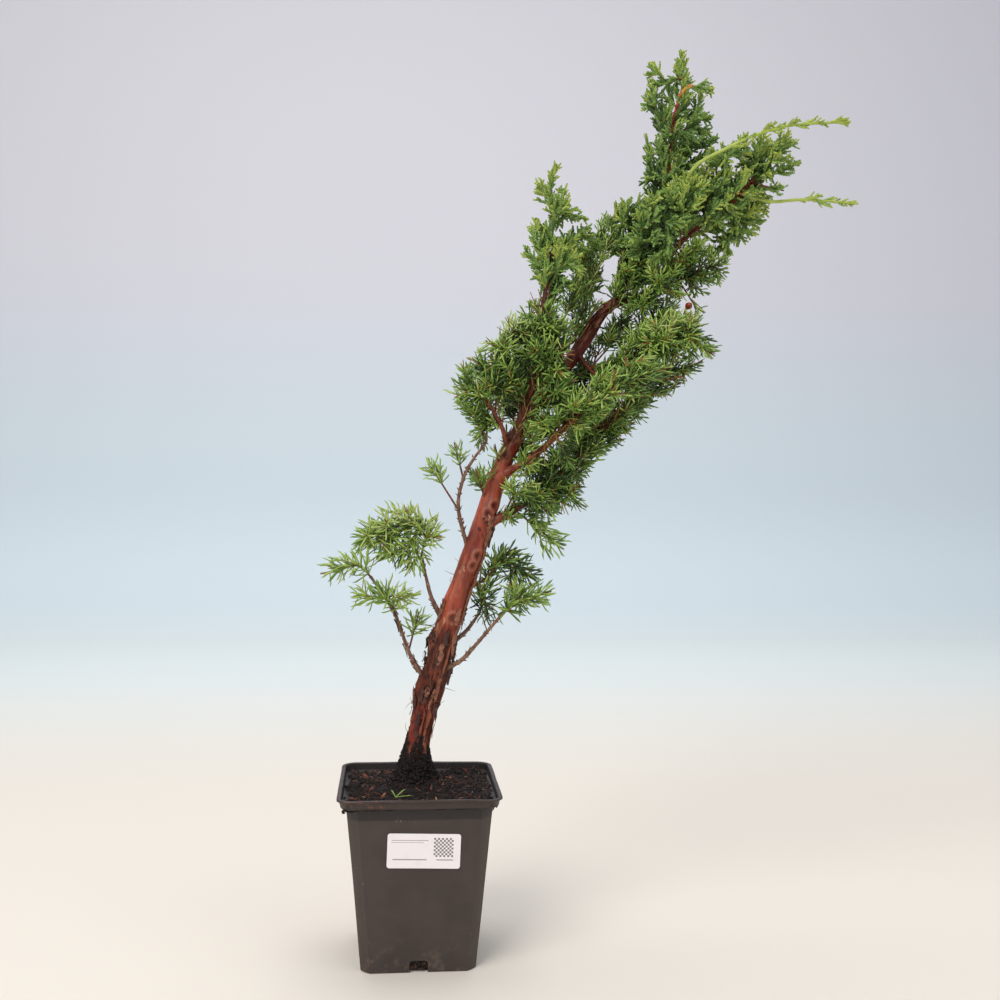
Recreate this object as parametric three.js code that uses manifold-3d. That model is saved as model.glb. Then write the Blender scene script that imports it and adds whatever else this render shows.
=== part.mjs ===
// A young juniper bonsai in the square plastic pot that it was grown in.
// Millimetres, +Z up. The origin is the centre of the pot's underside, and the side of
// the pot that carries the label faces -Y.

import * as THREE from "three";
import { mergeVertices } from "three/addons/utils/BufferGeometryUtils.js";
import Module from "manifold-3d";

const wasm = await Module();
wasm.setup();

// Space left between pieces that touch
const CLEAR = 0.3;

// Pot: 11 cm square across the lip, 12 cm tall, with cut-off corners below its rim
const LIP_WIDTH = 110;
const POT_HEIGHT = 119.5;
const LIP_THICK = 1.3;
const BAND_WIDTH = 106.6;
const BAND_HEIGHT = 6.6;
const BODY_TOP_WIDTH = 97.7;
const BODY_BASE_WIDTH = 77.5;
const LIP_CORNER = 10.5;
const CHAMFER_TOP = 7.4;
const CHAMFER_BASE = 6.3;
const WALL = 1.2;
const FLOOR = 1.6;
const DRAIN_WIDTH = 12.4;
const DRAIN_HEIGHT = 8.2;
const DRAIN_DEPTH = 6;
const CORNER_STEPS = 4;

// Soil: its level, and the mound that the trunk stands on
const SOIL_LEVEL = 111;
const MOUND_TOP = 121.7;
const MOUND_FLAT = 13;
const SOIL_LUMPS = 0.8;

// Label: a blank sticker on the front wall, a little askew
const LABEL_WIDTH = 48.5;
const LABEL_HEIGHT = 25.4;
const LABEL_CORNER = 2;
const LABEL_THICK = 0.3;
const LABEL_CENTRE = { x: 2.7, z: 84 };
const LABEL_ASKEW = -2.2;

// The tree stands turned a little about the pot's middle
const TREE_TURN = -5.32;

// Trunk: places that its middle passes, as [right, back, up, thickness], from the flat
// cut on the soil, through the fork, to the tip of the longer arm
const TRUNK = [
  [-3, 0, 122, 22], [-1, 0, 146, 17], [4, -1, 170, 16.4], [13, -3, 199, 19.4],
  [19, -4, 227, 16.6], [30, -4, 266, 15], [40, -4, 297, 14.4], [53, -3, 331, 12.6],
  [65, 1, 357, 11.2], [84, 8, 388, 9.6], [107, 14, 418, 8.6], [130, 18, 452, 6.4],
  [162, 20, 467, 4.4], [180, 18, 497, 3.8], [203, 12, 517, 3.4], [221, 8, 530, 2.8],
  [236, 4, 550, 2],
];
const ROOT_FLARE = 0.16;
const FLARE_LOBES = 5;

// Boughs: what each leaves and how far along it, how thick it is where it starts and
// ends, and the places that its middle passes, as [right, back, up]
const BOUGHS = {
  left_leader: bough("trunk", 0.5, 7.4, 2,
    [72, -10, 379], [79, -16, 402], [83, -18, 441], [87, -16, 469], [91, -14, 491]),
  left_mid_bough: bough("trunk", 0.48, 4.4, 2.6, [57, -10, 365], [51, -17, 376], [45, -22, 384]),
  left_tall_twig: bough("trunk", 0.33, 3.6, 1.8,
    [27, -10, 309], [30, -14, 330], [37, -15, 344], [46, -16, 357], [42, -20, 365]),
  spire_bough: bough("trunk", 0.69, 4.6, 2,
    [141, 12, 465], [151, 8, 483], [159, 6, 503], [168, 6, 531], [173, 8, 556], [174, 8, 578],
    [179, 5, 599]),
  shelf_bough: bough("trunk", 0.63, 4, 2.2, [123, 2, 410], [138, -8, 418], [151, -14, 424]),
  right_front_bough: bough("trunk", 0.44, 5.6, 3,
    [74, -12, 343], [88, -20, 355], [104, -28, 371], [121, -34, 387]),
  right_back_bough: bough("trunk", 0.38, 8.4, 3,
    [58, -8, 305], [69, -8, 312], [83, -4, 320], [99, 2, 337], [119, 6, 358], [130, 8, 372],
    [148, 8, 386]),
  low_left_bough: bough("trunk", 0.16, 3.4, 1.8,
    [-1, -6, 199], [-7, -8, 211], [-18, -12, 241], [-33, -14, 263]),
  low_left_inner_bough: bough("trunk", 0.25, 3.4, 2, [9, -2, 246], [4, 0, 263], [1, 0, 277]),
  low_right_bough: bough("trunk", 0.18, 3.4, 2,
    [28, -8, 204], [37, -10, 213], [47, -12, 225], [59, -12, 239]),
  low_right_inner_bough: bough("trunk", 0.22, 3.4, 2, [28, 0, 220], [35, 2, 227], [42, 4, 237]),
  low_right_top_bough: bough("trunk", 0.28, 2.8, 1.8, [32, -2, 253], [45, 2, 260]),
};

// Masses of foliage: the limb that each springs from and how far along it, then the
// balls of space that it fills, as [right, back, up, radius, ball it forks from]. A ball
// with no fork of its own follows the one before it.
const MASSES = {
  low_left_top: needles("low_left_inner_bough", 1,
    [3, 0, 291, 13], [-13, -2, 302, 16], [-31, -4, 299, 14], [-14, -6, 284, 12, 0]),
  low_left_outer: needles("low_left_bough", 1, [-42, -14, 271, 14], [-58, -16, 267, 10]),
  low_left_under: needles("low_left_bough", 0.72,
    [-21, -20, 246, 13], [-35, -19, 243, 12], [-9, -19, 252, 11, 0]),
  low_left_sprig: needles("low_left_bough", 0.5, [-2, -11, 230, 10]),
  low_right_outer: needles("low_right_bough", 1, [67, -12, 247, 15], [82, -12, 251, 13]),
  low_right_inner: needles("low_right_inner_bough", 1, [45, 5, 247, 13], [49, 8, 261, 12]),
  low_right_top: needles("low_right_top_bough", 1, [58, 2, 273, 14], [71, 2, 267, 13]),
  sprig_left: needles("left_tall_twig", 0.2, [11, -12, 334, 10]),
  sprig_mid: needles("left_tall_twig", 0.41, [26, -14, 347, 9]),
  tall_twig_tuft: needles("left_tall_twig", 1, [35, -24, 375, 11]),
  left_mid_low: needles("left_mid_bough", 1, [39, -26, 387, 15], [33, -27, 399, 12]),
  left_mid_top: needles("left_mid_bough", 0.63,
    [54, -20, 400, 18], [57, -24, 417, 15], [68, -20, 431, 15], [42, -16, 408, 13, 0]),
  left_mid_back: needles("trunk", 0.51, [61, 18, 389, 15], [48, 22, 403, 14], [72, 26, 408, 16, 0]),
  side_sprig: needles("trunk", 0.41, [41, 6, 329, 10]),
  leader_low: needles("left_leader", 0.4, [88, -22, 408, 17], [90, -20, 426, 17], [82, -18, 441, 12]),
  leader_mid: scales("left_leader", 0.74,
    [92, -16, 467, 14], [98, -14, 482, 12], [74, -17, 476, 12, 0], [78, -18, 496, 10, 2]),
  leader_top: scales("left_leader", 1,
    [88, -14, 501, 13], [94, -12, 514, 11], [88, -12, 527, 11], [91, -12, 540, 7],
    [105, -12, 512, 8, 1]),
  spur_mass: needles("trunk", 0.61, [110, 30, 460, 13], [119, 34, 486, 14], [127, 34, 508, 14]),
  spire_low: scales("spire_bough", 0.53, [158, -2, 540, 15], [154, 0, 558, 12]),
  spire_low_right: scales("spire_bough", 0.62, [182, 14, 549, 14], [193, 12, 558, 9]),
  spire_mid: scales("spire_bough", 0.76, [164, 0, 577, 13], [160, 2, 594, 13]),
  spire_mid_right: scales("spire_bough", 0.84, [187, 13, 578, 14], [192, 9, 593, 10]),
  spire_top: scales("spire_bough", 1,
    [181, 4, 609, 9], [180, 4, 625, 5], [168, 1, 607, 10, 0], [161, 1, 615, 6, 2],
    [196, 6, 606, 6, 0]),
  crown_left: scales("spire_bough", 0.19, [140, 8, 491, 14], [133, 9, 509, 10], [148, 8, 517, 14, 0]),
  crown_centre: scales("spire_bough", 0.33,
    [157, -10, 496, 17], [169, -14, 513, 18], [186, -12, 526, 16]),
  crown_low: needles("trunk", 0.73, [153, -2, 453, 14], [168, -6, 467, 16]),
  crown_back: needles("trunk", 0.76,
    [157, 44, 481, 15], [166, 46, 502, 16], [183, 42, 520, 16], [202, 36, 531, 15]),
  end_low: needles("trunk", 0.8, [184, 12, 474, 15], [201, 8, 480, 15], [187, -8, 488, 14, 0]),
  end_mid: scales("trunk", 0.86, [199, -6, 521, 17], [213, -4, 532, 16], [193, 2, 542, 13, 0]),
  end_right: scales("trunk", 0.9, [222, 12, 511, 16], [212, 14, 497, 14], [230, 22, 526, 14, 0]),
  end_tip: scales("trunk", 1,
    [238, 4, 557, 15], [252, 4, 564, 11], [224, 2, 560, 12, 0], [233, 6, 538, 14, 0]),
  long_shoot_top: scales("trunk", 0.83,
    [182, -18, 538, 5], [208, -18, 557, 4], [245, -17, 572, 4], [287, -16, 576, 4]),
  long_shoot_right: scales("trunk", 0.95, [242, 2, 526, 5], [265, 0, 527, 4], [298, 0, 525, 3]),
  shelf_inner: needles("shelf_bough", 0.43, [135, -6, 404, 12], [147, -14, 412, 13]),
  shelf_outer: needles("shelf_bough", 1, [161, -18, 425, 18], [179, -20, 432, 17], [191, -20, 423, 13]),
  right_front: needles("right_front_bough", 1,
    [128, -36, 388, 14], [143, -38, 398, 15], [158, -36, 403, 13]),
  right_back: needles("right_back_bough", 1, [158, 8, 392, 17], [175, 8, 403, 17], [188, 6, 408, 14]),
  right_under: needles("right_back_bough", 0.71,
    [117, 10, 355, 16], [134, 8, 365, 16], [151, 8, 376, 12]),
  centre_under: needles("right_front_bough", 0.65,
    [93, -29, 368, 15], [109, -34, 379, 14], [98, -30, 351, 12, 0], [84, -22, 350, 12, 0]),
  lower_tuft: needles("right_back_bough", 0.42,
    [84, -10, 325, 14], [100, -6, 321, 15], [111, -4, 315, 11]),
  lower_right: needles("right_back_bough", 0.55,
    [94, -6, 344, 14], [112, 4, 335, 13], [78, -14, 338, 10, 0]),
  drooping_tuft: needles("right_back_bough", 0.24, [79, -10, 299, 7], [94, -10, 289, 11]),
  throat: needles("trunk", 0.6,
    [103, 24, 391, 14], [117, 26, 404, 13], [127, 28, 425, 13], [141, 29, 441, 14]),
};

// How each kind of foliage grows: the length of a tier, the length and slant of the leaves,
// the radius of the stem, the spread of the places that twigs grow towards, and how far from
// all growth such a place must be for a twig to be sent there
const KINDS = {
  needles: { tier: 8, leaf: 14, leafSlant: 48, core: 1, spread: 7, fill: 9.2 },
  scales: { tier: 8, leaf: 12, leafSlant: 42, core: 1.1, spread: 6, fill: 7.8 },
};
const TWIG_CORE = 0.82;
const TIP_CORE = 0.6;
const FIRST_TIER = 2.6;
const LONGEST_TWIG = 34;
const SHORTEST_TWIG = 6;
const TWIG_ROOM = 2.2;
const TIP_ROOM = 0.3;
const LEAST_ONWARD = 0.05;
const MOST_ONWARD = 0.78;
const LEAST_OUTWARD = 0.5;
const FACES_TRIED = 10;
const STEM_REACH = 0.5;
const LEAF_GAP = 0.55;
const LEAF_SHARES = [1, 0.8, 0.6, 0.42];
const STEP = 1.5;
const FULLNESS = 1.1;

// Finishes
const COLOURS = {
  pot: { color: 0x4b423d, roughness: 0.62 },
  soil: { color: 0x241a15, roughness: 0.95 },
  label: { color: 0xf4eeee, roughness: 0.5 },
  bark: { color: 0x96503e, roughness: 0.8 },
  needles: { color: 0x4a7a38, roughness: 0.6 },
  scales: { color: 0x6c9a44, roughness: 0.6 },
};

function bough(from, at, base, tip, ...places) {
  return { from, at, base, tip, places };
}

function needles(from, at, ...balls) {
  return { kind: "needles", from, at, balls };
}

function scales(from, at, ...balls) {
  return { kind: "scales", from, at, balls };
}

function point([right, back, up]) {
  return new THREE.Vector3(right, back, up);
}

function radians(degrees) {
  return THREE.MathUtils.degToRad(degrees);
}

// A repeatable draw of numbers from 0 to 1
function drawer(seed) {
  let state = seed;
  return () => {
    state = (state + 0x6d2b79f5) >>> 0;
    let mixed = Math.imul(state ^ (state >>> 15), state | 1);
    mixed ^= mixed + Math.imul(mixed ^ (mixed >>> 7), mixed | 61);
    return ((mixed ^ (mixed >>> 14)) >>> 0) / 4294967296;
  };
}

// A closed skin over a list of rings, each with the same count of points, closed at both
// ends by a fan round a middle point
function skin(rings, startMiddle, endMiddle) {
  const count = rings[0].length;
  const positions = rings.flat().concat([startMiddle, endMiddle]).flatMap((p) => [p.x, p.y, p.z]);
  const startIndex = rings.length * count;
  const endIndex = startIndex + 1;
  const faces = [];
  for (let i = 0; i < count; i++) {
    const next = (i + 1) % count;
    faces.push(startIndex, next, i);
    for (let r = 0; r < rings.length - 1; r++) {
      const low = r * count;
      const high = low + count;
      faces.push(low + i, low + next, high + next, low + i, high + next, high + i);
    }
    const last = (rings.length - 1) * count;
    faces.push(endIndex, last + i, last + next);
  }
  return geometryOf(positions, faces);
}

function geometryOf(positions, faces) {
  const geometry = new THREE.BufferGeometry();
  geometry.setAttribute("position", new THREE.Float32BufferAttribute(positions, 3));
  geometry.setIndex(faces);
  return geometry;
}

// Solids for cutting and joining, and the way back to a geometry
function solid(geometry) {
  const bare = geometry.clone();
  bare.deleteAttribute("normal");
  bare.deleteAttribute("uv");
  const merged = mergeVertices(bare, 1e-4);
  const mesh = new wasm.Mesh({
    numProp: 3,
    vertProperties: new Float32Array(merged.attributes.position.array),
    triVerts: new Uint32Array(merged.index.array),
  });
  return new wasm.Manifold(mesh);
}

function geometryFrom(body) {
  const mesh = body.getMesh();
  return geometryOf(Array.from(mesh.vertProperties), Array.from(mesh.triVerts));
}

function largestPiece(body) {
  const pieces = body.decompose();
  return pieces.reduce((best, piece) => (piece.volume() > best.volume() ? piece : best));
}

// A square ring with its corners rounded (round 1) or cut off straight (round 0)
function squareRing(width, corner, round, height) {
  const inset = width / 2 - corner;
  const ring = [];
  for (let quarter = 0; quarter < 4; quarter++) {
    for (let i = 0; i <= CORNER_STEPS; i++) {
      const share = i / CORNER_STEPS;
      const turn = share * Math.PI / 2;
      const x = THREE.MathUtils.lerp(width / 2 - corner * share, inset + corner * Math.cos(turn), round);
      const y = THREE.MathUtils.lerp(inset + corner * share, inset + corner * Math.sin(turn), round);
      const spin = quarter * Math.PI / 2;
      ring.push(new THREE.Vector3(
        x * Math.cos(spin) - y * Math.sin(spin),
        x * Math.sin(spin) + y * Math.cos(spin),
        height,
      ));
    }
  }
  return ring;
}

// The body's width at a height, from its base to the underside of the rim
const BODY_HEIGHT = POT_HEIGHT - BAND_HEIGHT;
const WALL_LEAN = Math.atan((BODY_TOP_WIDTH - BODY_BASE_WIDTH) / 2 / BODY_HEIGHT);

function bodyWidth(height) {
  return THREE.MathUtils.lerp(BODY_BASE_WIDTH, BODY_TOP_WIDTH, height / BODY_HEIGHT);
}

// The pot is one thin shell: up its outside, over the lip, and down its inside
function potGeometry() {
  const lipUnder = POT_HEIGHT - LIP_THICK;
  const outside = [
    squareRing(BODY_BASE_WIDTH - 2, CHAMFER_BASE, 0.35, 0),
    squareRing(bodyWidth(1), CHAMFER_BASE, 0.2, 1),
    squareRing(BODY_TOP_WIDTH, CHAMFER_TOP, 0.2, BODY_HEIGHT),
    squareRing(BAND_WIDTH - 1.6, LIP_CORNER - 1.6, 1, BODY_HEIGHT + 0.4),
    squareRing(BAND_WIDTH, LIP_CORNER - 1, 1, lipUnder - 0.8),
    squareRing(LIP_WIDTH, LIP_CORNER, 1, lipUnder),
    squareRing(LIP_WIDTH, LIP_CORNER, 1, POT_HEIGHT - 0.4),
    squareRing(LIP_WIDTH - 0.9, LIP_CORNER, 1, POT_HEIGHT),
  ];
  const inside = [
    squareRing(BAND_WIDTH - 2 * WALL, LIP_CORNER - 2, 1, POT_HEIGHT),
    squareRing(BAND_WIDTH - 2 * WALL - 1.4, LIP_CORNER - 2.6, 1, BODY_HEIGHT + WALL + 0.4),
    squareRing(BODY_TOP_WIDTH - 2 * WALL, CHAMFER_TOP, 0.2, BODY_HEIGHT - 0.4),
    squareRing(bodyWidth(FLOOR) - 2 * WALL, CHAMFER_BASE, 0.2, FLOOR),
  ];
  const shell = skin([...outside, ...inside], new THREE.Vector3(), new THREE.Vector3(0, 0, FLOOR));
  let body = solid(shell);
  for (let side = 0; side < 4; side++) {
    const mouth = new THREE.BoxGeometry(DRAIN_WIDTH, 2 * DRAIN_DEPTH, 2 * DRAIN_HEIGHT);
    mouth.translate(0, -bodyWidth(0) / 2, 0);
    mouth.rotateZ(side * Math.PI / 2);
    body = body.subtract(solid(mouth));
  }
  return geometryFrom(body);
}

// Soil fills the pot, and rises in a lumpy mound to a flat seat under the trunk
function soilGeometry(foot) {
  const draw = drawer(11);
  const gap = 2 * (WALL + CLEAR);
  const fill = SOIL_LEVEL - 2;
  const rings = [
    squareRing(bodyWidth(FLOOR) - gap - 0.4, CHAMFER_BASE, 0.2, FLOOR + CLEAR),
    squareRing(bodyWidth(fill) - gap - 0.4, CHAMFER_TOP, 0.2, fill),
    squareRing(bodyWidth(fill) - gap - 4, CHAMFER_TOP, 0.4, SOIL_LEVEL),
  ];
  const edge = rings[2];
  const climb = [[0.3, 0], [0.56, 0.08], [0.76, 0.3], [0.88, 0.62], [0.96, 0.9]];
  for (const [inward, rise] of climb) {
    rings.push(edge.map((p) => {
      const target = seatPoint(p, foot);
      const lump = SOIL_LUMPS * (draw() - 0.5) * 2;
      const place = new THREE.Vector3().lerpVectors(p, target, inward);
      place.z = THREE.MathUtils.lerp(SOIL_LEVEL, MOUND_TOP, rise) + lump * (1 - rise);
      return place;
    }));
  }
  rings.push(edge.map((p) => seatPoint(p, foot)));
  const middle = new THREE.Vector3(foot.x, foot.y, MOUND_TOP);
  return skin(rings, new THREE.Vector3(0, 0, FLOOR + CLEAR), middle);
}

function seatPoint(p, foot) {
  const away = new THREE.Vector3(p.x - foot.x, p.y - foot.y, 0).setLength(MOUND_FLAT);
  return new THREE.Vector3(foot.x + away.x, foot.y + away.y, MOUND_TOP);
}

function labelGeometry() {
  const w = LABEL_WIDTH / 2;
  const h = LABEL_HEIGHT / 2;
  const c = LABEL_CORNER;
  const outline = new THREE.Shape();
  outline.moveTo(-w + c, -h);
  outline.absarc(w - c, -h + c, c, -Math.PI / 2, 0);
  outline.absarc(w - c, h - c, c, 0, Math.PI / 2);
  outline.absarc(-w + c, h - c, c, Math.PI / 2, Math.PI);
  outline.absarc(-w + c, -h + c, c, Math.PI, 1.5 * Math.PI);
  const settings = { depth: LABEL_THICK, bevelEnabled: false, curveSegments: 4 };
  return new THREE.ExtrudeGeometry(outline, settings);
}

function smooth(places) {
  return new THREE.CatmullRomCurve3(places, false, "catmullrom", 0.5);
}

// A limb's middle line and its radius anywhere along it
function limbOf(places, thicknesses) {
  const curve = smooth(places);
  const radiusAt = (t) => {
    const along = Math.min(t, 1) * (thicknesses.length - 1);
    const index = Math.min(Math.floor(along), thicknesses.length - 2);
    return THREE.MathUtils.lerp(thicknesses[index], thicknesses[index + 1], along - index) / 2;
  };
  return { curve, radiusAt };
}

// Points along a limb, close enough together to measure from, each with its radius
function measured(limb) {
  const count = Math.ceil(limb.curve.getLength() / 4);
  return Array.from({ length: count + 1 }, (_, i) => ({
    place: limb.curve.getPoint(i / count),
    radius: limb.radiusAt(i / count),
  }));
}

// A tube along a line of places, with a frame that is carried along without twisting
function tube(places, radii, sides, options = {}) {
  const { flatStart = false, lobes = () => 1 } = options;
  let side = null;
  const rings = places.map((place, i) => {
    const before = places[Math.max(i - 1, 0)];
    const after = places[Math.min(i + 1, places.length - 1)];
    const ahead = new THREE.Vector3().subVectors(after, before).normalize();
    if (i === 0 && flatStart) ahead.set(0, 0, 1);
    side = side ?? new THREE.Vector3(1, 0, 0.2);
    side = side.clone().addScaledVector(ahead, -side.dot(ahead)).normalize();
    const up = new THREE.Vector3().crossVectors(ahead, side);
    return Array.from({ length: sides }, (_, k) => {
      const turn = 2 * Math.PI * k / sides;
      const reach = radii[i] * lobes(turn, i);
      return place.clone()
        .addScaledVector(side, reach * Math.cos(turn))
        .addScaledVector(up, reach * Math.sin(turn));
    });
  });
  const end = places.at(-1);
  const tip = end.clone().sub(places.at(-2)).setLength(radii.at(-1) * 0.7).add(end);
  return skin(rings, places[0].clone(), tip);
}

function limbTube(limb, steps, sides, extra, options) {
  const shares = Array.from({ length: steps + 1 }, (_, i) => i / steps);
  const places = shares.map((t) => limb.curve.getPoint(t));
  const radii = shares.map((t) => limb.radiusAt(t) + extra);
  return tube(places, radii, sides, options);
}

// The shortest distance between the stretch a-b and the stretch c-d
const between = (() => {
  const first = new THREE.Vector3();
  const second = new THREE.Vector3();
  const offset = new THREE.Vector3();
  return (a, b, c, d) => {
    first.subVectors(b, a);
    second.subVectors(d, c);
    offset.subVectors(a, c);
    const aa = first.dot(first);
    const bb = second.dot(second);
    const ab = first.dot(second);
    const ao = first.dot(offset);
    const bo = second.dot(offset);
    const spread = aa * bb - ab * ab;
    let s = spread > 1e-9 ? THREE.MathUtils.clamp((ab * bo - ao * bb) / spread, 0, 1) : 0;
    let t = (ab * s + bo) / Math.max(bb, 1e-9);
    if (t < 0 || t > 1) {
      t = THREE.MathUtils.clamp(t, 0, 1);
      s = THREE.MathUtils.clamp((t * ab - ao) / Math.max(aa, 1e-9), 0, 1);
    }
    offset.addScaledVector(first, s).addScaledVector(second, -t);
    return offset.length();
  };
})();

// How far a place lies inside (below 0) or outside a mass's space
function outsideOf(mass, place) {
  let least = Infinity;
  for (const link of mass.links) {
    const along = new THREE.Vector3().subVectors(link.end, link.start);
    const share = along.lengthSq() > 0
      ? THREE.MathUtils.clamp(place.clone().sub(link.start).dot(along) / along.lengthSq(), 0, 1)
      : 0;
    const reach = THREE.MathUtils.lerp(link.startRadius, link.endRadius, share);
    const gap = link.start.clone().addScaledVector(along, share).distanceTo(place) - reach;
    least = Math.min(least, gap);
  }
  return least;
}

// A place belongs to a mass where it is deeper in that mass's space than in any other
function belongs(mass, place, thickness) {
  const own = outsideOf(mass, place);
  if (own > 0) return false;
  return mass.neighbours.every((other) => outsideOf(other, place) - own > 2 * thickness + 0.4);
}

// A stretch of twig or leaf is clear when it keeps off every limb and every other stem
function clearOfLimbs(mass, start, end, thickness) {
  return mass.obstacles.every(({ from, to, radius }) => (
    between(start, end, from, to) > radius + thickness + CLEAR + 0.2
  ));
}

// Within its mass, a stretch keeps off all that has grown there but its own shoot
function clearOfGrowth(growth, start, end, room, shoot) {
  return growth.every((other) => other.shoot === shoot
    || between(start, end, other.start, other.end) > room);
}

// The trunk and boughs, as middle lines
const limbs = { trunk: limbOf(TRUNK.map(point), TRUNK.map((row) => row[3])) };
for (const [name, { from, at, base, tip, places }] of Object.entries(BOUGHS)) {
  const start = limbs[from].curve.getPoint(at);
  limbs[name] = limbOf([start, ...places.map(point)], [base, tip]);
}

// Each mass's space, and its stems: the main one from its limb, and one for each fork
const masses = Object.entries(MASSES).map(([name, { kind, from, at, balls }], index) => {
  const root = limbs[from].curve.getPoint(at);
  const parentOf = (i) => balls[i][4] ?? i - 1;
  const links = balls.map((ball, i) => {
    const parent = i === 0 ? ball : balls[parentOf(i)];
    return {
      start: point(parent),
      end: point(ball),
      startRadius: parent[3] * FULLNESS,
      endRadius: ball[3] * FULLNESS,
    };
  });
  const stems = [];
  balls.forEach((ball, i) => {
    if (i > 0 && ball[4] === undefined) {
      stems.at(-1).places.push(point(ball));
    } else {
      stems.push({ places: [i === 0 ? root : point(balls[parentOf(i)]), point(ball)] });
    }
    stems.at(-1).reach = ball[3] * STEM_REACH;
  });
  for (const { places, reach } of stems) {
    const [before, last] = places.slice(-2);
    places.push(last.clone().sub(before).setLength(reach).add(last));
  }
  const bare = root.distanceTo(point(balls[0])) - balls[0][3] * 0.8;
  return { name, index, kind, from, links, stems, bare };
});

function piecesBetween(list) {
  return list.slice(1).map((item, i) => ({
    from: list[i].place,
    to: item.place,
    radius: Math.max(list[i].radius, item.radius),
  }));
}

for (const mass of masses) {
  const reach = (one, other) => one.links.some((a) => other.links.some((b) => (
    between(a.start, a.end, b.start, b.end) < a.startRadius + a.endRadius + b.startRadius + b.endRadius
  )));
  mass.neighbours = masses.filter((other) => other !== mass && reach(mass, other));
  mass.obstacles = Object.values(limbs).flatMap((limb) => piecesBetween(measured(limb)));
  for (const other of masses) {
    if (other === mass) continue;
    for (const { places } of other.stems) {
      const radius = KINDS[other.kind].core;
      const along = measured({ curve: smooth(places), radiusAt: () => radius });
      mass.obstacles.push(...piecesBetween(along));
    }
  }
  const near = (piece) => mass.links.some((link) => (
    between(piece.from, piece.to, link.start, link.end) < Math.max(link.startRadius, link.endRadius) + 12
  ));
  mass.obstacles = mass.obstacles.filter(near);
}

// A level direction across another
function levelAcross(ahead) {
  const up = Math.abs(ahead.z) > 0.95 ? new THREE.Vector3(1, 0, 0) : new THREE.Vector3(0, 0, 1);
  return new THREE.Vector3().crossVectors(up, ahead).normalize();
}

// A plant is one closed skin that grows. It starts as a three-sided stem, and any of its
// faces can be drawn out into a leaf, or into a twig with faces of its own.
function newPlant(mass) {
  return { mass, kind: KINDS[mass.kind], positions: [], faces: [], open: [], growth: [], leaves: [] };
}

function addCorner(plant, place) {
  return plant.positions.push(place.x, place.y, place.z) / 3 - 1;
}

function cornerAt(plant, index) {
  return new THREE.Vector3().fromArray(plant.positions, 3 * index);
}

// Frames across a curve, one at each tier, carried along without twisting
function tiersAlong(curve, tier, firstTier) {
  const length = curve.getLength();
  const from = firstTier / length;
  const count = Math.max(1, Math.round((length - firstTier) / tier));
  const shares = firstTier > 0 ? [0] : [];
  for (let i = 0; i <= count; i++) {
    shares.push(Math.min(1, from + (1 - from) * i / count));
  }
  let side = null;
  return shares.map((share) => {
    const ahead = curve.getTangentAt(share);
    side = side ?? levelAcross(ahead);
    side = side.clone().addScaledVector(ahead, -side.dot(ahead)).normalize();
    const up = new THREE.Vector3().crossVectors(ahead, side);
    return { middle: curve.getPointAt(share), ahead, side, up };
  });
}

function acrossFrame({ side, up }, turn) {
  return side.clone().multiplyScalar(Math.cos(radians(turn)))
    .addScaledVector(up, Math.sin(radians(turn)));
}

// Grows a shoot along a curve, from a limb or out of a face. Every tier turns the triangle
// half-way on, so that the leaves of one whorl stand between those of the next.
function addShoot(plant, curve, face, core, bare) {
  const frames = tiersAlong(curve, plant.kind.tier, face ? FIRST_TIER : 0);
  const shoot = Symbol("shoot");
  const rings = [];
  let phase = 0;
  if (face) {
    face.used = true;
    rings.push(face.corners);
    const { middle, side, up } = frames[1];
    const lean = cornerAt(plant, face.corners[0]).sub(middle);
    phase = THREE.MathUtils.radToDeg(Math.atan2(lean.dot(up), lean.dot(side)));
  }
  const first = rings.length;
  for (let i = first; i < frames.length; i++) {
    const reach = core * THREE.MathUtils.lerp(1, TIP_CORE, i / (frames.length - 1));
    const spin = phase + 60 * (i - first);
    rings.push([0, 120, 240].map((turn) => {
      const outward = acrossFrame(frames[i], spin + turn);
      return addCorner(plant, frames[i].middle.clone().addScaledVector(outward, reach));
    }));
  }
  if (!face) plant.faces.push(rings[0].toReversed());
  let run = 0;
  for (let i = 0; i < rings.length - 1; i++) {
    const [low, high] = [rings[i], rings[i + 1]];
    const spin = phase + 60 * (i - first);
    for (let k = 0; k < 3; k++) {
      const next = (k + 1) % 3;
      if (i < first) {
        plant.faces.push([low[k], low[next], high[next]], [low[k], high[next], high[k]]);
        continue;
      }
      const upward = { corners: [low[k], low[next], high[k]], turn: spin + 120 * k + 60, rise: 1 / 3 };
      const across = [high[k], low[next], high[next]];
      const downward = { corners: across, turn: spin + 120 * k + 120, rise: 2 / 3 };
      for (const open of [upward, downward]) {
        const frame = frames[i];
        const start = frame.middle.clone().lerp(frames[i + 1].middle, open.rise);
        const outward = acrossFrame(frame, open.turn);
        plant.open.push(Object.assign(open, { shoot, frame, start, outward, bare: run < bare }));
      }
    }
    const [start, end] = [frames[i].middle, frames[i + 1].middle];
    run += start.distanceTo(end);
    plant.growth.push({ start, end, shoot });
  }
  const { middle, ahead } = frames.at(-1);
  const tip = middle.clone().addScaledVector(ahead, plant.kind.leaf * TIP_ROOM);
  const apex = addCorner(plant, tip);
  const last = rings.at(-1);
  for (let k = 0; k < 3; k++) {
    plant.faces.push([last[k], last[(k + 1) % 3], apex]);
  }
  plant.growth.push({ start: middle, end: tip, shoot });
}

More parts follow.
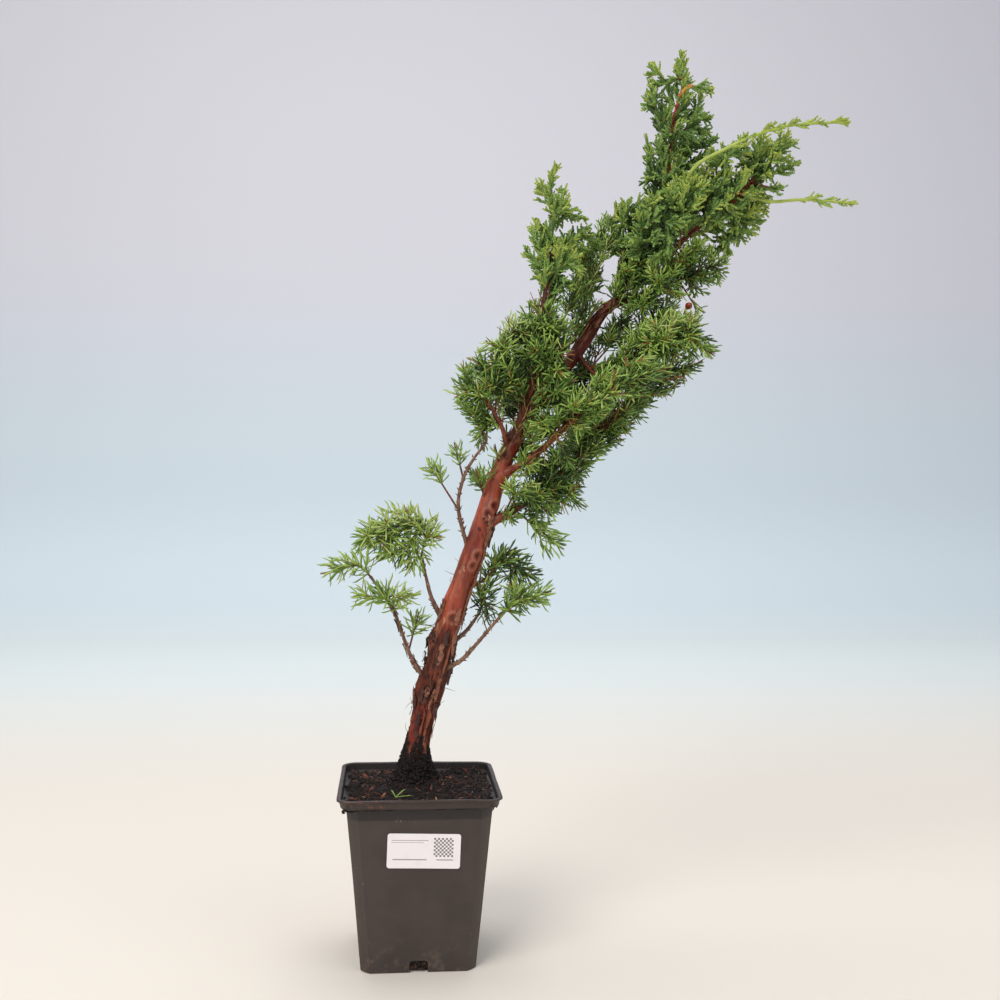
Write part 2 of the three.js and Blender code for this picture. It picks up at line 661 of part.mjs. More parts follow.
// Places spread evenly through a mass's own space, that its twigs grow towards
function targetsIn(mass, kind, draw) {
  const room = new THREE.Box3();
  for (const { end, endRadius } of mass.links) {
    room.expandByPoint(end.clone().addScalar(endRadius));
    room.expandByPoint(end.clone().subScalar(endRadius));
  }
  const targets = [];
  const wander = () => kind.spread * (draw() - 0.5);
  for (let x = room.min.x; x < room.max.x; x += kind.spread) {
    for (let y = room.min.y; y < room.max.y; y += kind.spread) {
      for (let z = room.min.z; z < room.max.z; z += kind.spread) {
        const place = new THREE.Vector3(x + wander(), y + wander(), z + wander());
        const inside = outsideOf(mass, place) < -kind.leaf * TIP_ROOM;
        if (inside && belongs(mass, place, kind.core)) targets.push({ place, distance: Infinity });
      }
    }
  }
  return targets;
}

// The free faces that look towards a place, the best first
function facesTowards(plant, place) {
  const found = [];
  for (const face of plant.open) {
    if (face.used || face.bare) continue;
    const heading = place.clone().sub(face.start);
    const distance = heading.length();
    if (distance < SHORTEST_TWIG || distance > LONGEST_TWIG) continue;
    heading.divideScalar(distance);
    const onward = heading.dot(face.frame.ahead);
    const outward = heading.dot(face.outward);
    if (onward < LEAST_ONWARD || onward > MOST_ONWARD || outward < LEAST_OUTWARD) continue;
    found.push({ face, worth: distance / outward });
  }
  return found.sort((one, other) => one.worth - other.worth).slice(0, FACES_TRIED);
}

// A twig may grow where all of it stays in its mass's space, and off limbs and other twigs
function twigFits(plant, face, end) {
  const { mass, kind, growth } = plant;
  const along = end.clone().sub(face.start);
  const length = along.length();
  along.divideScalar(length);
  const free = face.start.clone().addScaledVector(along, TWIG_ROOM);
  const beyond = end.clone().addScaledVector(along, kind.leaf * TIP_ROOM);
  for (let run = FIRST_TIER; run < length; run += STEP) {
    if (!belongs(mass, face.start.clone().addScaledVector(along, run), kind.core)) return false;
  }
  return clearOfLimbs(mass, free, beyond, kind.core)
    && clearOfGrowth(growth, free, beyond, TWIG_ROOM, face.shoot);
}

// Twigs grow one by one, each towards the place that is now furthest from all growth
function addTwigs(plant, targets) {
  const near = (target, from) => {
    for (const { start, end } of plant.growth.slice(from)) {
      target.distance = Math.min(target.distance, between(start, end, target.place, target.place));
    }
  };
  targets.forEach((target) => near(target, 0));
  let left = targets;
  while (true) {
    left = left.filter((target) => target.distance > plant.kind.fill);
    if (left.length === 0) return;
    const furthest = left.reduce((best, other) => (other.distance > best.distance ? other : best));
    const choice = facesTowards(plant, furthest.place)
      .find(({ face }) => twigFits(plant, face, furthest.place));
    furthest.distance = 0;
    if (!choice) continue;
    const grown = plant.growth.length;
    const curve = new THREE.LineCurve3(choice.face.start, furthest.place);
    addShoot(plant, curve, choice.face, plant.kind.core * TWIG_CORE, 0);
    left.forEach((target) => near(target, grown));
  }
}

// Draws a face out into a leaf, as long as it can be without leaving the mass's space or
// touching a limb, a twig or another leaf
function addLeaf(plant, face) {
  const { mass, kind } = plant;
  const corners = face.corners.map((index) => cornerAt(plant, index));
  const start = corners[0].clone().add(corners[1]).add(corners[2]).divideScalar(3);
  const slant = radians(kind.leafSlant);
  const heading = face.frame.ahead.clone().multiplyScalar(Math.cos(slant))
    .addScaledVector(face.outward, Math.sin(slant));
  const ends = LEAF_SHARES.map((share) => start.clone().addScaledVector(heading, kind.leaf * share));
  const fits = (end) => belongs(mass, end, 0.2) && clearOfLimbs(mass, start, end, 0.4)
    && clearOfGrowth(plant.growth, start, end, kind.core + LEAF_GAP, face.shoot)
    && clearOfGrowth(plant.leaves, start, end, 2 * LEAF_GAP, face.shoot);
  const end = face.bare ? undefined : ends.find(fits);
  const [a, b, c] = face.corners;
  if (!end) {
    plant.faces.push([a, b, c]);
    return;
  }
  plant.leaves.push({ start, end, shoot: face.shoot });
  const apex = addCorner(plant, end);
  plant.faces.push([a, b, apex], [b, c, apex], [c, a, apex]);
}

// A fork leaves the main stem by the free face that looks most towards where it goes
function addFork(plant, { places }) {
  const [from, to] = places;
  const worth = (face) => {
    const heading = to.clone().sub(face.start).normalize();
    return face.start.distanceTo(from) - 8 * face.outward.dot(heading);
  };
  const faces = plant.open.filter((face) => !face.used && !face.bare);
  const face = faces.reduce((best, other) => (worth(other) < worth(best) ? other : best));
  const elbow = face.start.clone().addScaledVector(face.outward, 2 * FIRST_TIER);
  addShoot(plant, smooth([face.start, elbow, ...places.slice(1)]), face, plant.kind.core * TWIG_CORE, 0);
}

// One mass: its stem with its forks, its twigs, and their leaves
function growMass(mass) {
  const plant = newPlant(mass);
  const draw = drawer(101 + mass.index);
  const [mainStem, ...forks] = mass.stems;
  addShoot(plant, smooth(mainStem.places), null, plant.kind.core, mass.bare);
  for (const fork of forks) {
    addFork(plant, fork);
  }
  addTwigs(plant, targetsIn(mass, plant.kind, draw));
  for (const face of plant.open) {
    if (!face.used) addLeaf(plant, face);
  }
  return plant;
}

// The whole mass is cut clear of the limb that carries it
function massGeometry(mass) {
  const plant = growMass(mass);
  const whole = solid(geometryOf(plant.positions, plant.faces.flat()));
  const carrier = solid(carvingLimb(mass.from));
  return geometryFrom(largestPiece(whole.subtract(carrier)));
}

// How finely each limb is made
const LIMB_STEPS = { trunk: 44 };
const LIMB_SIDES = { trunk: 10 };
for (const name of Object.keys(BOUGHS)) {
  LIMB_STEPS[name] = Math.ceil(limbs[name].curve.getLength() / 11);
  LIMB_SIDES[name] = 6;
}

// A limb with the space left round it, to cut what it carries clear of it
function carvingLimb(name) {
  return limbTube(limbs[name], LIMB_STEPS[name], LIMB_SIDES[name], CLEAR + 0.05);
}

// The trunk spreads in lobes where it meets the soil
function trunkGeometry() {
  const flare = (turn, ring) => 1 + ROOT_FLARE * Math.exp(-ring / 1.5) * Math.cos(FLARE_LOBES * turn);
  return limbTube(limbs.trunk, LIMB_STEPS.trunk, LIMB_SIDES.trunk, 0, { flatStart: true, lobes: flare });
}

// A bough starts inside what carries it and is cut clear of it
function boughGeometry(name) {
  const { from } = BOUGHS[name];
  const whole = solid(limbTube(limbs[name], LIMB_STEPS[name], LIMB_SIDES[name], 0));
  const carrier = solid(carvingLimb(from));
  return geometryFrom(largestPiece(whole.subtract(carrier)));
}

function piece(name, geometry, finish) {
  const { color, roughness } = COLOURS[finish];
  geometry.computeVertexNormals();
  const material = new THREE.MeshStandardMaterial({ color, roughness, metalness: 0 });
  const mesh = new THREE.Mesh(geometry, material);
  mesh.name = name;
  return mesh;
}

// The pot with its soil and label
const bonsai = new THREE.Group();
const foot = point(TRUNK[0]).applyAxisAngle(new THREE.Vector3(0, 0, 1), radians(TREE_TURN));
bonsai.add(piece("pot", potGeometry(), "pot"));
bonsai.add(piece("soil", soilGeometry(foot), "soil"));

const label = piece("label", labelGeometry(), "label");
const wallFace = -bodyWidth(LABEL_CENTRE.z) / 2;
label.position.set(
  LABEL_CENTRE.x,
  wallFace - CLEAR * Math.cos(WALL_LEAN),
  LABEL_CENTRE.z - CLEAR * Math.sin(WALL_LEAN),
);
label.rotation.set(Math.PI / 2 + WALL_LEAN, 0, radians(LABEL_ASKEW));
bonsai.add(label);

// The tree
const tree = new THREE.Group();
tree.rotation.z = radians(TREE_TURN);
tree.add(piece("trunk", trunkGeometry(), "bark"));
for (const name of Object.keys(BOUGHS)) {
  tree.add(piece(name, boughGeometry(name), "bark"));
}
for (const mass of masses) {
  tree.add(piece(`foliage_${mass.name}`, massGeometry(mass), mass.kind));
}
bonsai.add(tree);

export default bonsai;
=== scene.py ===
"""The looks of a young juniper bonsai and of the square plastic pot that it stands in."""

import math

import bpy
import numpy as np
from mathutils import Matrix, Vector


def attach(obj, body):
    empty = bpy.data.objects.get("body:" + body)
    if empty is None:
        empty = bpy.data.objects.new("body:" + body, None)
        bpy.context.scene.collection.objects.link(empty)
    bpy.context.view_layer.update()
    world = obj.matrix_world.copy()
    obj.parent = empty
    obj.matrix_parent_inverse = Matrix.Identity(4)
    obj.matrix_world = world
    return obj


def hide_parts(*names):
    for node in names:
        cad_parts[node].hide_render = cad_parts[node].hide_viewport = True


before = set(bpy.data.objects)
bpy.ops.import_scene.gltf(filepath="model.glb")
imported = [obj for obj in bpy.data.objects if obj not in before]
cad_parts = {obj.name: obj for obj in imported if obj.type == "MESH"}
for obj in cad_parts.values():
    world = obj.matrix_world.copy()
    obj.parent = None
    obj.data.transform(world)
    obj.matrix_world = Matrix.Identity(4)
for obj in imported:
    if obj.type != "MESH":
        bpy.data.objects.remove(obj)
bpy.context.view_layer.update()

# Sizes, in millimetres, as in the part's source
MM = 0.001
CLEAR = 0.3
LIP_WIDTH = 110
POT_HEIGHT = 119.5
LIP_THICK = 1.3
BAND_WIDTH = 106.6
BAND_HEIGHT = 6.6
BODY_TOP_WIDTH = 97.7
BODY_BASE_WIDTH = 77.5
BODY_HEIGHT = POT_HEIGHT - BAND_HEIGHT
LIP_CORNER = 10.5
CHAMFER_TOP = 7.4
CHAMFER_BASE = 6.3
WALL = 1.2
FLOOR = 1.6
DRAIN_WIDTH = 12.4
DRAIN_HEIGHT = 8.2
DRAIN_DEPTH = 6
MOUND_TOP = 121.7
MOUND_FLAT = 13
LABEL_WIDTH = 48.5
LABEL_HEIGHT = 23.6
LABEL_CORNER = 1.8
LABEL_THICK = 0.16
LABEL_CENTRE = (2.7, 84)
SOIL_TOP = 114.6
# Finer detail: the edge in degrees, the fork as a share of the trunk, the rest in millimetres
LIP_WAVE = 0.55
SHARP_EDGE = 24
STRIP_THICK = 0.34
FORK_SHARE = 0.67
SMALL_KNOT = 4.5
LOW_FOLIAGE = 300
USUAL_BEYOND = 2.6
AWL_LENGTH = 7
SHORTEST_SIDE_SHOOT = 5
SHOOT_CORD = 1.15
SPRIG_CORD = 0.96
BRANCHLET_CORD = 0.8
# The label's tilt in radians, and the tree's turn about the pot's middle in degrees
LABEL_ASKEW = math.radians(-1.7)
TREE_TURN = -5.32

# Seeds, and how many faces one piece may hold
LITTER_SEED = 31
BARK_SEED = 51
LEAF_SEED = 61
MOST_FACES = 190000

# Trunk: places that its middle passes, as [right, back, up, thickness]
TRUNK = [
    [-3, 0, 122, 22], [-1, 0, 146, 17], [4, -1, 170, 16.4], [12.4, -3, 199, 18.4],
    [19.6, -4, 227, 16.8], [32.4, -4, 266, 15.4], [42.8, -4, 297, 14.8], [53.8, -3, 331, 12.8],
    [65, 1, 357, 11.2], [84, 8, 388, 9.6], [107, 14, 418, 8.6], [130, 18, 452, 6.4],
    [162, 20, 467, 4.4], [180, 18, 497, 3.8], [203, 12, 517, 3.4], [221, 8, 530, 2.8],
    [236, 4, 550, 2],
]


def needles(*row, **look):
    return "needles", row, look


def scales(*row, **look):
    return "scales", row, look


# Boughs: how far along the trunk each leaves it, how thick it is at its start and end, and the
# places that its middle passes, as [right, back, up]
BOUGHS = {
    "left_leader": (0.5, 7.4, 2,
        [72, -10, 379], [79, -16, 402], [83, -18, 441], [87, -16, 469], [91, -14, 491]),
    "left_mid_bough": (0.48, 4.4, 2.6, [57, -10, 365], [51, -17, 376], [45, -22, 384]),
    "left_tall_twig": (0.33, 3.6, 1.8,
        [27, -10, 309], [30, -14, 330], [37, -15, 344], [46, -16, 357], [42, -20, 365]),
    "spire_bough": (0.69, 4.6, 2,
        [141, 12, 465], [151, 8, 483], [159, 6, 503], [168, 6, 531], [173, 8, 556], [174, 8, 578],
        [179, 5, 599]),
    "shelf_bough": (0.63, 4, 2.2, [124, 4, 404], [139, -6, 411], [151, -14, 420]),
    "right_front_bough": (0.44, 5.6, 3,
        [74, -12, 343], [88, -20, 355], [104, -28, 371], [121, -34, 387]),
    "right_back_bough": (0.38, 8.4, 3,
        [58, -8, 305], [69, -8, 312], [83, -4, 320], [99, 2, 337], [119, 6, 358], [130, 8, 372],
        [148, 8, 386]),
    "low_left_bough": (0.16, 3.4, 1.8,
        [-1, -6, 199], [-7, -8, 211], [-18, -12, 241], [-33, -14, 263]),
    "low_left_inner_bough": (0.25, 3.4, 2, [9, -2, 246], [4, 0, 263], [1, 0, 277]),
    "low_right_bough": (0.18, 3.4, 2,
        [28, -8, 204], [37, -10, 213], [47, -12, 225], [59, -12, 239]),
    "low_right_inner_bough": (0.22, 3.4, 2, [28, 0, 220], [35, 2, 227], [42, 4, 237]),
    "low_right_top_bough": (0.28, 2.8, 1.8, [32, -2, 253], [45, 2, 260]),
}

# Masses of foliage: the limb that each springs from and how far along it, then the balls of
# space that it fills, as [right, back, up, radius, ball it forks from]. Fresh is below 0 for
# darker leaves, painted shade mostly on masses that lie behind, under or deep in the crown, and
# above 0 for more yellow leaves; beyond is how far they reach past the space in millimetres,
# and awls are needles that are short and stand close
MASSES = {
    "low_left_top": needles("low_left_inner_bough", 1,
        [3, 0, 293, 13], [-13, -2, 298, 15], [-32, -4, 291, 15], [-14, -6, 281, 12, 0],
        [-4, -6, 272, 8, 0], fresh=0.45, beyond=5),
    "low_left_outer": needles("low_left_bough", 1,
        [-42, -14, 271, 14], [-58, -16, 267, 10], fresh=0.65, beyond=3),
    "low_left_under": needles("low_left_bough", 0.72,
        [-21, -20, 248, 13], [-33, -19, 250, 12], [-9, -19, 250, 8, 0], fresh=0.5, beyond=5),
    "low_left_sprig": needles("low_left_bough", 0.5, [-2, -11, 230, 10], fresh=0.4, beyond=4),
    "low_right_outer": needles("low_right_bough", 1,
        [67, -12, 247, 15], [82, -12, 251, 11], fresh=0.15, beyond=4),
    "low_right_inner": needles("low_right_inner_bough", 1,
        [45, 5, 247, 13], [49, 8, 261, 12], [48, 0, 236, 9, 0], fresh=-0.15, beyond=4),
    "low_right_top": needles("low_right_top_bough", 1,
        [58, 2, 273, 14], [71, 2, 267, 13], fresh=-0.15, beyond=4),
    "sprig_left": needles("left_tall_twig", 0.2, [11, -12, 334, 10], beyond=3.5),
    "sprig_mid": needles("left_tall_twig", 0.41, [26, -14, 347, 9], beyond=2),
    "tall_twig_tuft": needles("left_tall_twig", 1, [35, -24, 375, 11], beyond=4),
    "left_mid_low": needles("left_mid_bough", 1,
        [39, -26, 387, 15], [33, -27, 399, 12], fresh=0.15, beyond=-1),
    "left_mid_top": needles("left_mid_bough", 0.63,
        [54, -20, 400, 18], [57, -24, 417, 15], [68, -20, 431, 15], [42, -16, 408, 13, 0],
        fresh=0.2, beyond=0),
    "left_mid_back": needles("trunk", 0.51,
        [61, 18, 389, 15], [48, 22, 403, 14], [72, 26, 408, 16, 0], fresh=-0.3),
    "side_sprig": needles("trunk", 0.41, [41, 6, 329, 10], beyond=0),
    "leader_low": needles("left_leader", 0.4,
        [88, -22, 408, 17], [90, -20, 426, 17], [82, -18, 441, 12], fresh=0.2),
    "leader_mid": scales("left_leader", 0.74,
        [92, -16, 467, 14], [98, -14, 482, 12], [77, -17, 480, 9, 0], [78, -18, 496, 10, 2],
        fresh=0.25, beyond=0),
    "leader_top": scales("left_leader", 1,
        [88, -14, 501, 13], [94, -12, 514, 11], [88, -12, 527, 11], [91, -12, 540, 7],
        [105, -12, 512, 8, 1], fresh=0.35),
    "spur_mass": needles("trunk", 0.61,
        [110, 30, 460, 13], [119, 34, 486, 14], [127, 34, 508, 14], fresh=-0.1, beyond=6),
    "spire_low": scales("spire_bough", 0.53, [161, -2, 540, 14], [158, 0, 558, 11]),
    "spire_low_right": scales("spire_bough", 0.62, [182, 14, 549, 14], [193, 12, 558, 9]),
    "spire_mid": scales("spire_bough", 0.76, [165, 0, 577, 12], [161, 2, 597, 12], fresh=0.05),
    "spire_mid_right": scales("spire_bough", 0.84,
        [187, 13, 578, 14], [192, 9, 593, 10], fresh=-0.05),
    "spire_top": scales("spire_bough", 1,
        [181, 4, 609, 9], [180, 4, 625, 5], [168, 1, 607, 10, 0], [161, 1, 615, 6, 2],
        [196, 6, 606, 6, 0], fresh=0.1),
    "crown_left": scales("spire_bough", 0.19,
        [140, 8, 491, 14], [133, 9, 509, 10], [148, 8, 517, 14, 0], fresh=0.1),
    "crown_centre": scales("spire_bough", 0.33,
        [157, -10, 496, 17], [169, -14, 513, 18], [186, -12, 526, 16], fresh=0.1),
    "crown_low": needles("trunk", 0.73, [153, -2, 453, 14], [168, -6, 467, 16], awls=True),
    "crown_back": needles("trunk", 0.76,
        [157, 44, 481, 15], [166, 46, 502, 16], [183, 42, 520, 16], [202, 36, 531, 15],
        fresh=-0.1, awls=True),
    "end_low": needles("trunk", 0.8,
        [184, 12, 474, 15], [201, 8, 480, 15], [187, -8, 488, 14, 0], awls=True),
    "end_mid": scales("trunk", 0.86,
        [199, -6, 521, 17], [213, -4, 532, 16], [193, 2, 542, 13, 0], fresh=0.2),
    "end_right": scales("trunk", 0.9,
        [222, 12, 512, 14], [212, 14, 499, 12], [230, 22, 526, 14, 0], fresh=0.25, beyond=0),
    "end_tip": scales("trunk", 1,
        [238, 4, 557, 15], [252, 4, 564, 11], [224, 2, 560, 12, 0], [233, 6, 538, 14, 0],
        fresh=0.3),
    "long_shoot_top": scales("trunk", 0.83,
        [182, -18, 538, 5], [208, -18, 557, 4], [245, -17, 572, 4], [287, -16, 576, 4],
        fresh=0.6),
    "long_shoot_right": scales("trunk", 0.95,
        [242, 2, 526, 5], [265, 0, 527, 4], [298, 0, 525, 3], fresh=0.4),
    "shelf_inner": needles("shelf_bough", 0.43, [135, -6, 404, 12], [147, -14, 412, 13]),
    "shelf_outer": needles("shelf_bough", 1,
        [161, -18, 425, 18], [179, -20, 432, 17], [191, -20, 423, 13], fresh=0.25, beyond=1),
    "right_front": needles("right_front_bough", 1,
        [128, -36, 388, 14], [143, -38, 398, 15], [158, -36, 403, 13], fresh=0.2, beyond=-1),
    "right_back": needles("right_back_bough", 1,
        [157, 8, 395, 16], [174, 8, 406, 16], [187, 6, 411, 13], beyond=-3),
    "right_under": needles("right_back_bough", 0.71,
        [115, 10, 358, 15], [132, 8, 369, 15], [149, 8, 380, 12], fresh=-0.2, beyond=-3),
    "centre_under": needles("right_front_bough", 0.65,
        [93, -29, 368, 15], [109, -34, 379, 14], [98, -30, 351, 12, 0], [84, -22, 350, 12, 0]),
    "lower_tuft": needles("right_back_bough", 0.42,
        [84, -10, 325, 14], [100, -6, 321, 15], [108, -4, 316, 10], fresh=0.1, beyond=-2),
    "lower_right": needles("right_back_bough", 0.55,
        [93, -6, 345, 14], [107, 4, 337, 12], [78, -14, 338, 10, 0], beyond=-3),
    "drooping_tuft": needles("right_back_bough", 0.24,
        [79, -10, 299, 7], [93, -10, 288, 9], fresh=0.2, beyond=5),
    "throat": needles("trunk", 0.6,
        [103, 24, 391, 14], [117, 26, 404, 13], [127, 28, 425, 13], [141, 29, 441, 14],
        fresh=-0.4),
}

# Thinner growth that fills out the crown between those masses
THINNER = len(MASSES)
MASSES |= {
    "leader_back": scales("left_leader", 0.86,
        [101, -6, 493, 11], [109, 6, 502, 11], [117, 12, 501, 8]),
    "leader_side": scales("left_leader", 0.8, [99, -22, 477, 12], fresh=0.3),
    "fork_front": needles("left_leader", 0.15, [86, -26, 383, 12], [99, -24, 393, 11], fresh=-0.15),
    "fork_low": needles("trunk", 0.5, [81, -16, 368, 10], fresh=-0.3),
    "bough_tuft": needles("right_front_bough", 0.3, [75, -26, 361, 8]),
    "bough_foot": needles("right_front_bough", 0.15, [74, -28, 341, 9]),
    "under_front": needles("right_back_bough", 0.14, [68, -24, 322, 11], [84, -22, 311, 11]),
    "trunk_side": needles("trunk", 0.4, [41, -16, 330, 9], beyond=0),
    "left_under": needles("left_mid_bough", 0.4, [47, -18, 369, 10], [42, -12, 360, 8]),
    "spire_core": scales("spire_bough", 0.88, [180, 0, 592, 10], fresh=-0.1),
    "spire_stem": scales("spire_bough", 0.7, [174, -3, 571, 10], [188, 4, 569, 9, 0], fresh=-0.2),
    "spire_foot": scales("spire_bough", 0.6, [165, -2, 559, 9]),
    "spire_side": scales("spire_bough", 0.66, [186, 8, 563, 9], [199, 8, 568, 8], fresh=-0.2),
    "end_top": scales("trunk", 0.92, [207, -8, 551, 11], [218, -8, 555, 9], fresh=0.1),
    "tip_side": scales("trunk", 0.97, [250, 6, 548, 9], [259, 8, 553, 6]),
    "throat_low": needles("shelf_bough", 0.2, [134, 12, 427, 12], fresh=-0.35),
    "shelf_over": needles("shelf_bough", 0.7, [153, 4, 434, 12], [168, 4, 447, 12]),
    "mid_low": needles("right_front_bough", 0.75, [124, -18, 384, 11]),
    "mid_back": needles("right_back_bough", 0.75, [138, -8, 375, 10], fresh=-0.2),
    "low_mid": needles("right_back_bough", 0.52, [117, -10, 351, 10], fresh=-0.2),
    "spur_front": needles("trunk", 0.64,
        [116, 12, 462, 8], [122, 10, 478, 9], [129, 8, 494, 9], fresh=-0.05, beyond=5),
    "throat_front": needles("trunk", 0.68,
        [141, 4, 461, 10], [150, 0, 477, 11], [140, 0, 482, 9, 0], fresh=0.05, awls=True),
    "shelf_foot": needles("shelf_bough", 0.4, [137, -16, 411, 8]),
    "spur_foot": needles("trunk", 0.63,
        [108, 6, 434, 8], [112, 6, 449, 9], [121, 4, 452, 7, 0], fresh=-0.2),
    "throat_side": needles("trunk", 0.68, [133, 8, 450, 6], [136, 4, 464, 8], fresh=-0.1),
    "leader_foot": needles("left_leader", 0.45, [104, 2, 452, 9], [108, 0, 468, 7]),
    "end_side": scales("trunk", 0.97, [243, -10, 532, 8]),
    "bud_side": needles("trunk", 0.79, [190, 0, 453, 8]),
    "fork_left": needles("trunk", 0.45, [53, -12, 349, 6]),
    "bough_back": needles("trunk", 0.46, [76, 4, 352, 9]),
    "fork_back": needles("trunk", 0.49, [66, 10, 366, 9]),
    "under_foot": needles("right_back_bough", 0.1, [62, -12, 304, 8]),
    "fork_side": needles("trunk", 0.44, [68, -20, 366, 8], [74, -20, 374, 7]),
}

# How each kind of foliage grows, as in the part's source
KINDS = {
    "needles": {"tier": 8, "leaf": 14, "core": 1, "spread": 7, "fill": 9.2},
    "scales": {"tier": 8, "leaf": 12, "core": 1.1, "spread": 6, "fill": 7.8},
}
TWIG_CORE = 0.82
TIP_CORE = 0.6
FIRST_TIER = 2.6
LONGEST_TWIG = 34
SHORTEST_TWIG = 6
TWIG_ROOM = 2.2
TIP_ROOM = 0.3
LEAST_ONWARD = 0.05
MOST_ONWARD = 0.78
LEAST_OUTWARD = 0.5
FACES_TRIED = 10
STEM_REACH = 0.5
STEP = 1.5
FULLNESS = 1.1
THIN_FILL = 0.66
LINE_STEPS = 24
GOLDEN_TURN = 2.39996
UP = np.array([0.0, 0.0, 1.0])
RIGHT = np.array([1.0, 0.0, 0.0])
LEVEL = np.array([1, 1, 0])


def drawer(seed):
    """A repeatable draw of numbers from 0 to 1."""
    state = seed
    whole = 0xFFFFFFFF

    def draw():
        nonlocal state
        state = (state + 0x6D2B79F5) & whole
        mixed = ((state ^ (state >> 15)) * (state | 1)) & whole
        mixed ^= (mixed + (((mixed ^ (mixed >> 7)) * (mixed | 61)) & whole)) & whole
        return ((mixed ^ (mixed >> 14)) & whole) / 4294967296

    return draw


def unit(vectors):
    """Vectors of length 1."""
    length = np.linalg.norm(vectors, axis=-1, keepdims=True)
    return vectors / np.maximum(length, 1e-9)


def dot(first, second):
    return (first * second).sum(axis=-1, keepdims=True)


def around(side, up, turns):
    """Directions that are turned from side towards up."""
    return side * np.cos(turns)[:, None] + up * np.sin(turns)[:, None]


def compass(turns):
    """Level directions, turned from the right towards the back."""
    return np.stack([np.cos(turns), np.sin(turns), 0 * turns], axis=1)


class Curve:
    """A smooth line through places, that is read by its share of the length."""

    def __init__(self, places):
        self.places = np.array(places, float)
        self.steps = np.linspace(0, 1, 201)
        runs = np.linalg.norm(np.diff(self.at(self.steps), axis=0), axis=1)
        self.runs = np.concatenate([[0], np.cumsum(runs)])
        self.length = self.runs[-1]

    def at(self, steps):
        steps = np.clip(np.atleast_1d(steps), 0, 1)
        spans = len(self.places) - 1
        index = np.minimum((steps * spans).astype(int), spans - 1)
        w = (steps * spans - index)[:, None]
        first = 2 * self.places[0] - self.places[1]
        last = 2 * self.places[-1] - self.places[-2]
        all_places = np.vstack([first, self.places, last])
        a, b, c, d = (all_places[index + i] for i in range(4))
        leave = (c - a) / 2
        reach = (d - b) / 2
        cubed = (2 * b - 2 * c + leave + reach) * w**3
        squared = (3 * c - 3 * b - 2 * leave - reach) * w**2
        return cubed + squared + leave * w + b

    def step_of(self, shares):
        return np.interp(np.asarray(shares) * self.length, self.runs, self.steps)

    def at_share(self, shares):
        return self.at(self.step_of(shares))

    def ahead(self, shares):
        steps = self.step_of(shares)
        return unit(self.at(steps + 1e-4) - self.at(steps - 1e-4))


class Limb(Curve):
    """The trunk or a bough: a curve with a thickness anywhere along it."""

    def __init__(self, places, thicknesses):
        super().__init__(places)
        self.radii = np.array(thicknesses, float) / 2

    def radius(self, steps):
        return np.interp(steps, np.linspace(0, 1, len(self.radii)), self.radii)

    def stretches(self):
        steps = np.linspace(0, 1, math.ceil(self.length / 4) + 1)
        places = self.at(steps)
        radii = self.radius(steps)
        return stretches_of(places, np.maximum(radii[:-1], radii[1:]))


def stretches_of(places, radii):
    """Rows of [start, end, radius] for the straight stretches between places."""
    radii = np.broadcast_to(radii, len(places) - 1)
    return np.hstack([places[:-1], places[1:], radii[:, None]])


def between(starts, ends, others):
    """The distance of each stretch start-end from each row of others, less its radius."""
    a = starts[:, None]
    first = (ends - starts)[:, None]
    c = others[None, :, :3]
    second = others[None, :, 3:6] - c
    offset = a - c
    aa = np.maximum(dot(first, first), 1e-9)
    bb = np.maximum(dot(second, second), 1e-9)
    ab = dot(first, second)
    ao = dot(first, offset)
    bo = dot(second, offset)
    spread = aa * bb - ab * ab
    s = np.where(spread > 1e-9, (ab * bo - ao * bb) / np.maximum(spread, 1e-9), 0)
    s = np.clip(s, 0, 1)
    t = np.clip((ab * s + bo) / bb, 0, 1)
    s = np.clip((t * ab - ao) / aa, 0, 1)
    gap = np.linalg.norm(offset + first * s - second * t, axis=-1)
    return gap - others[None, :, 6]


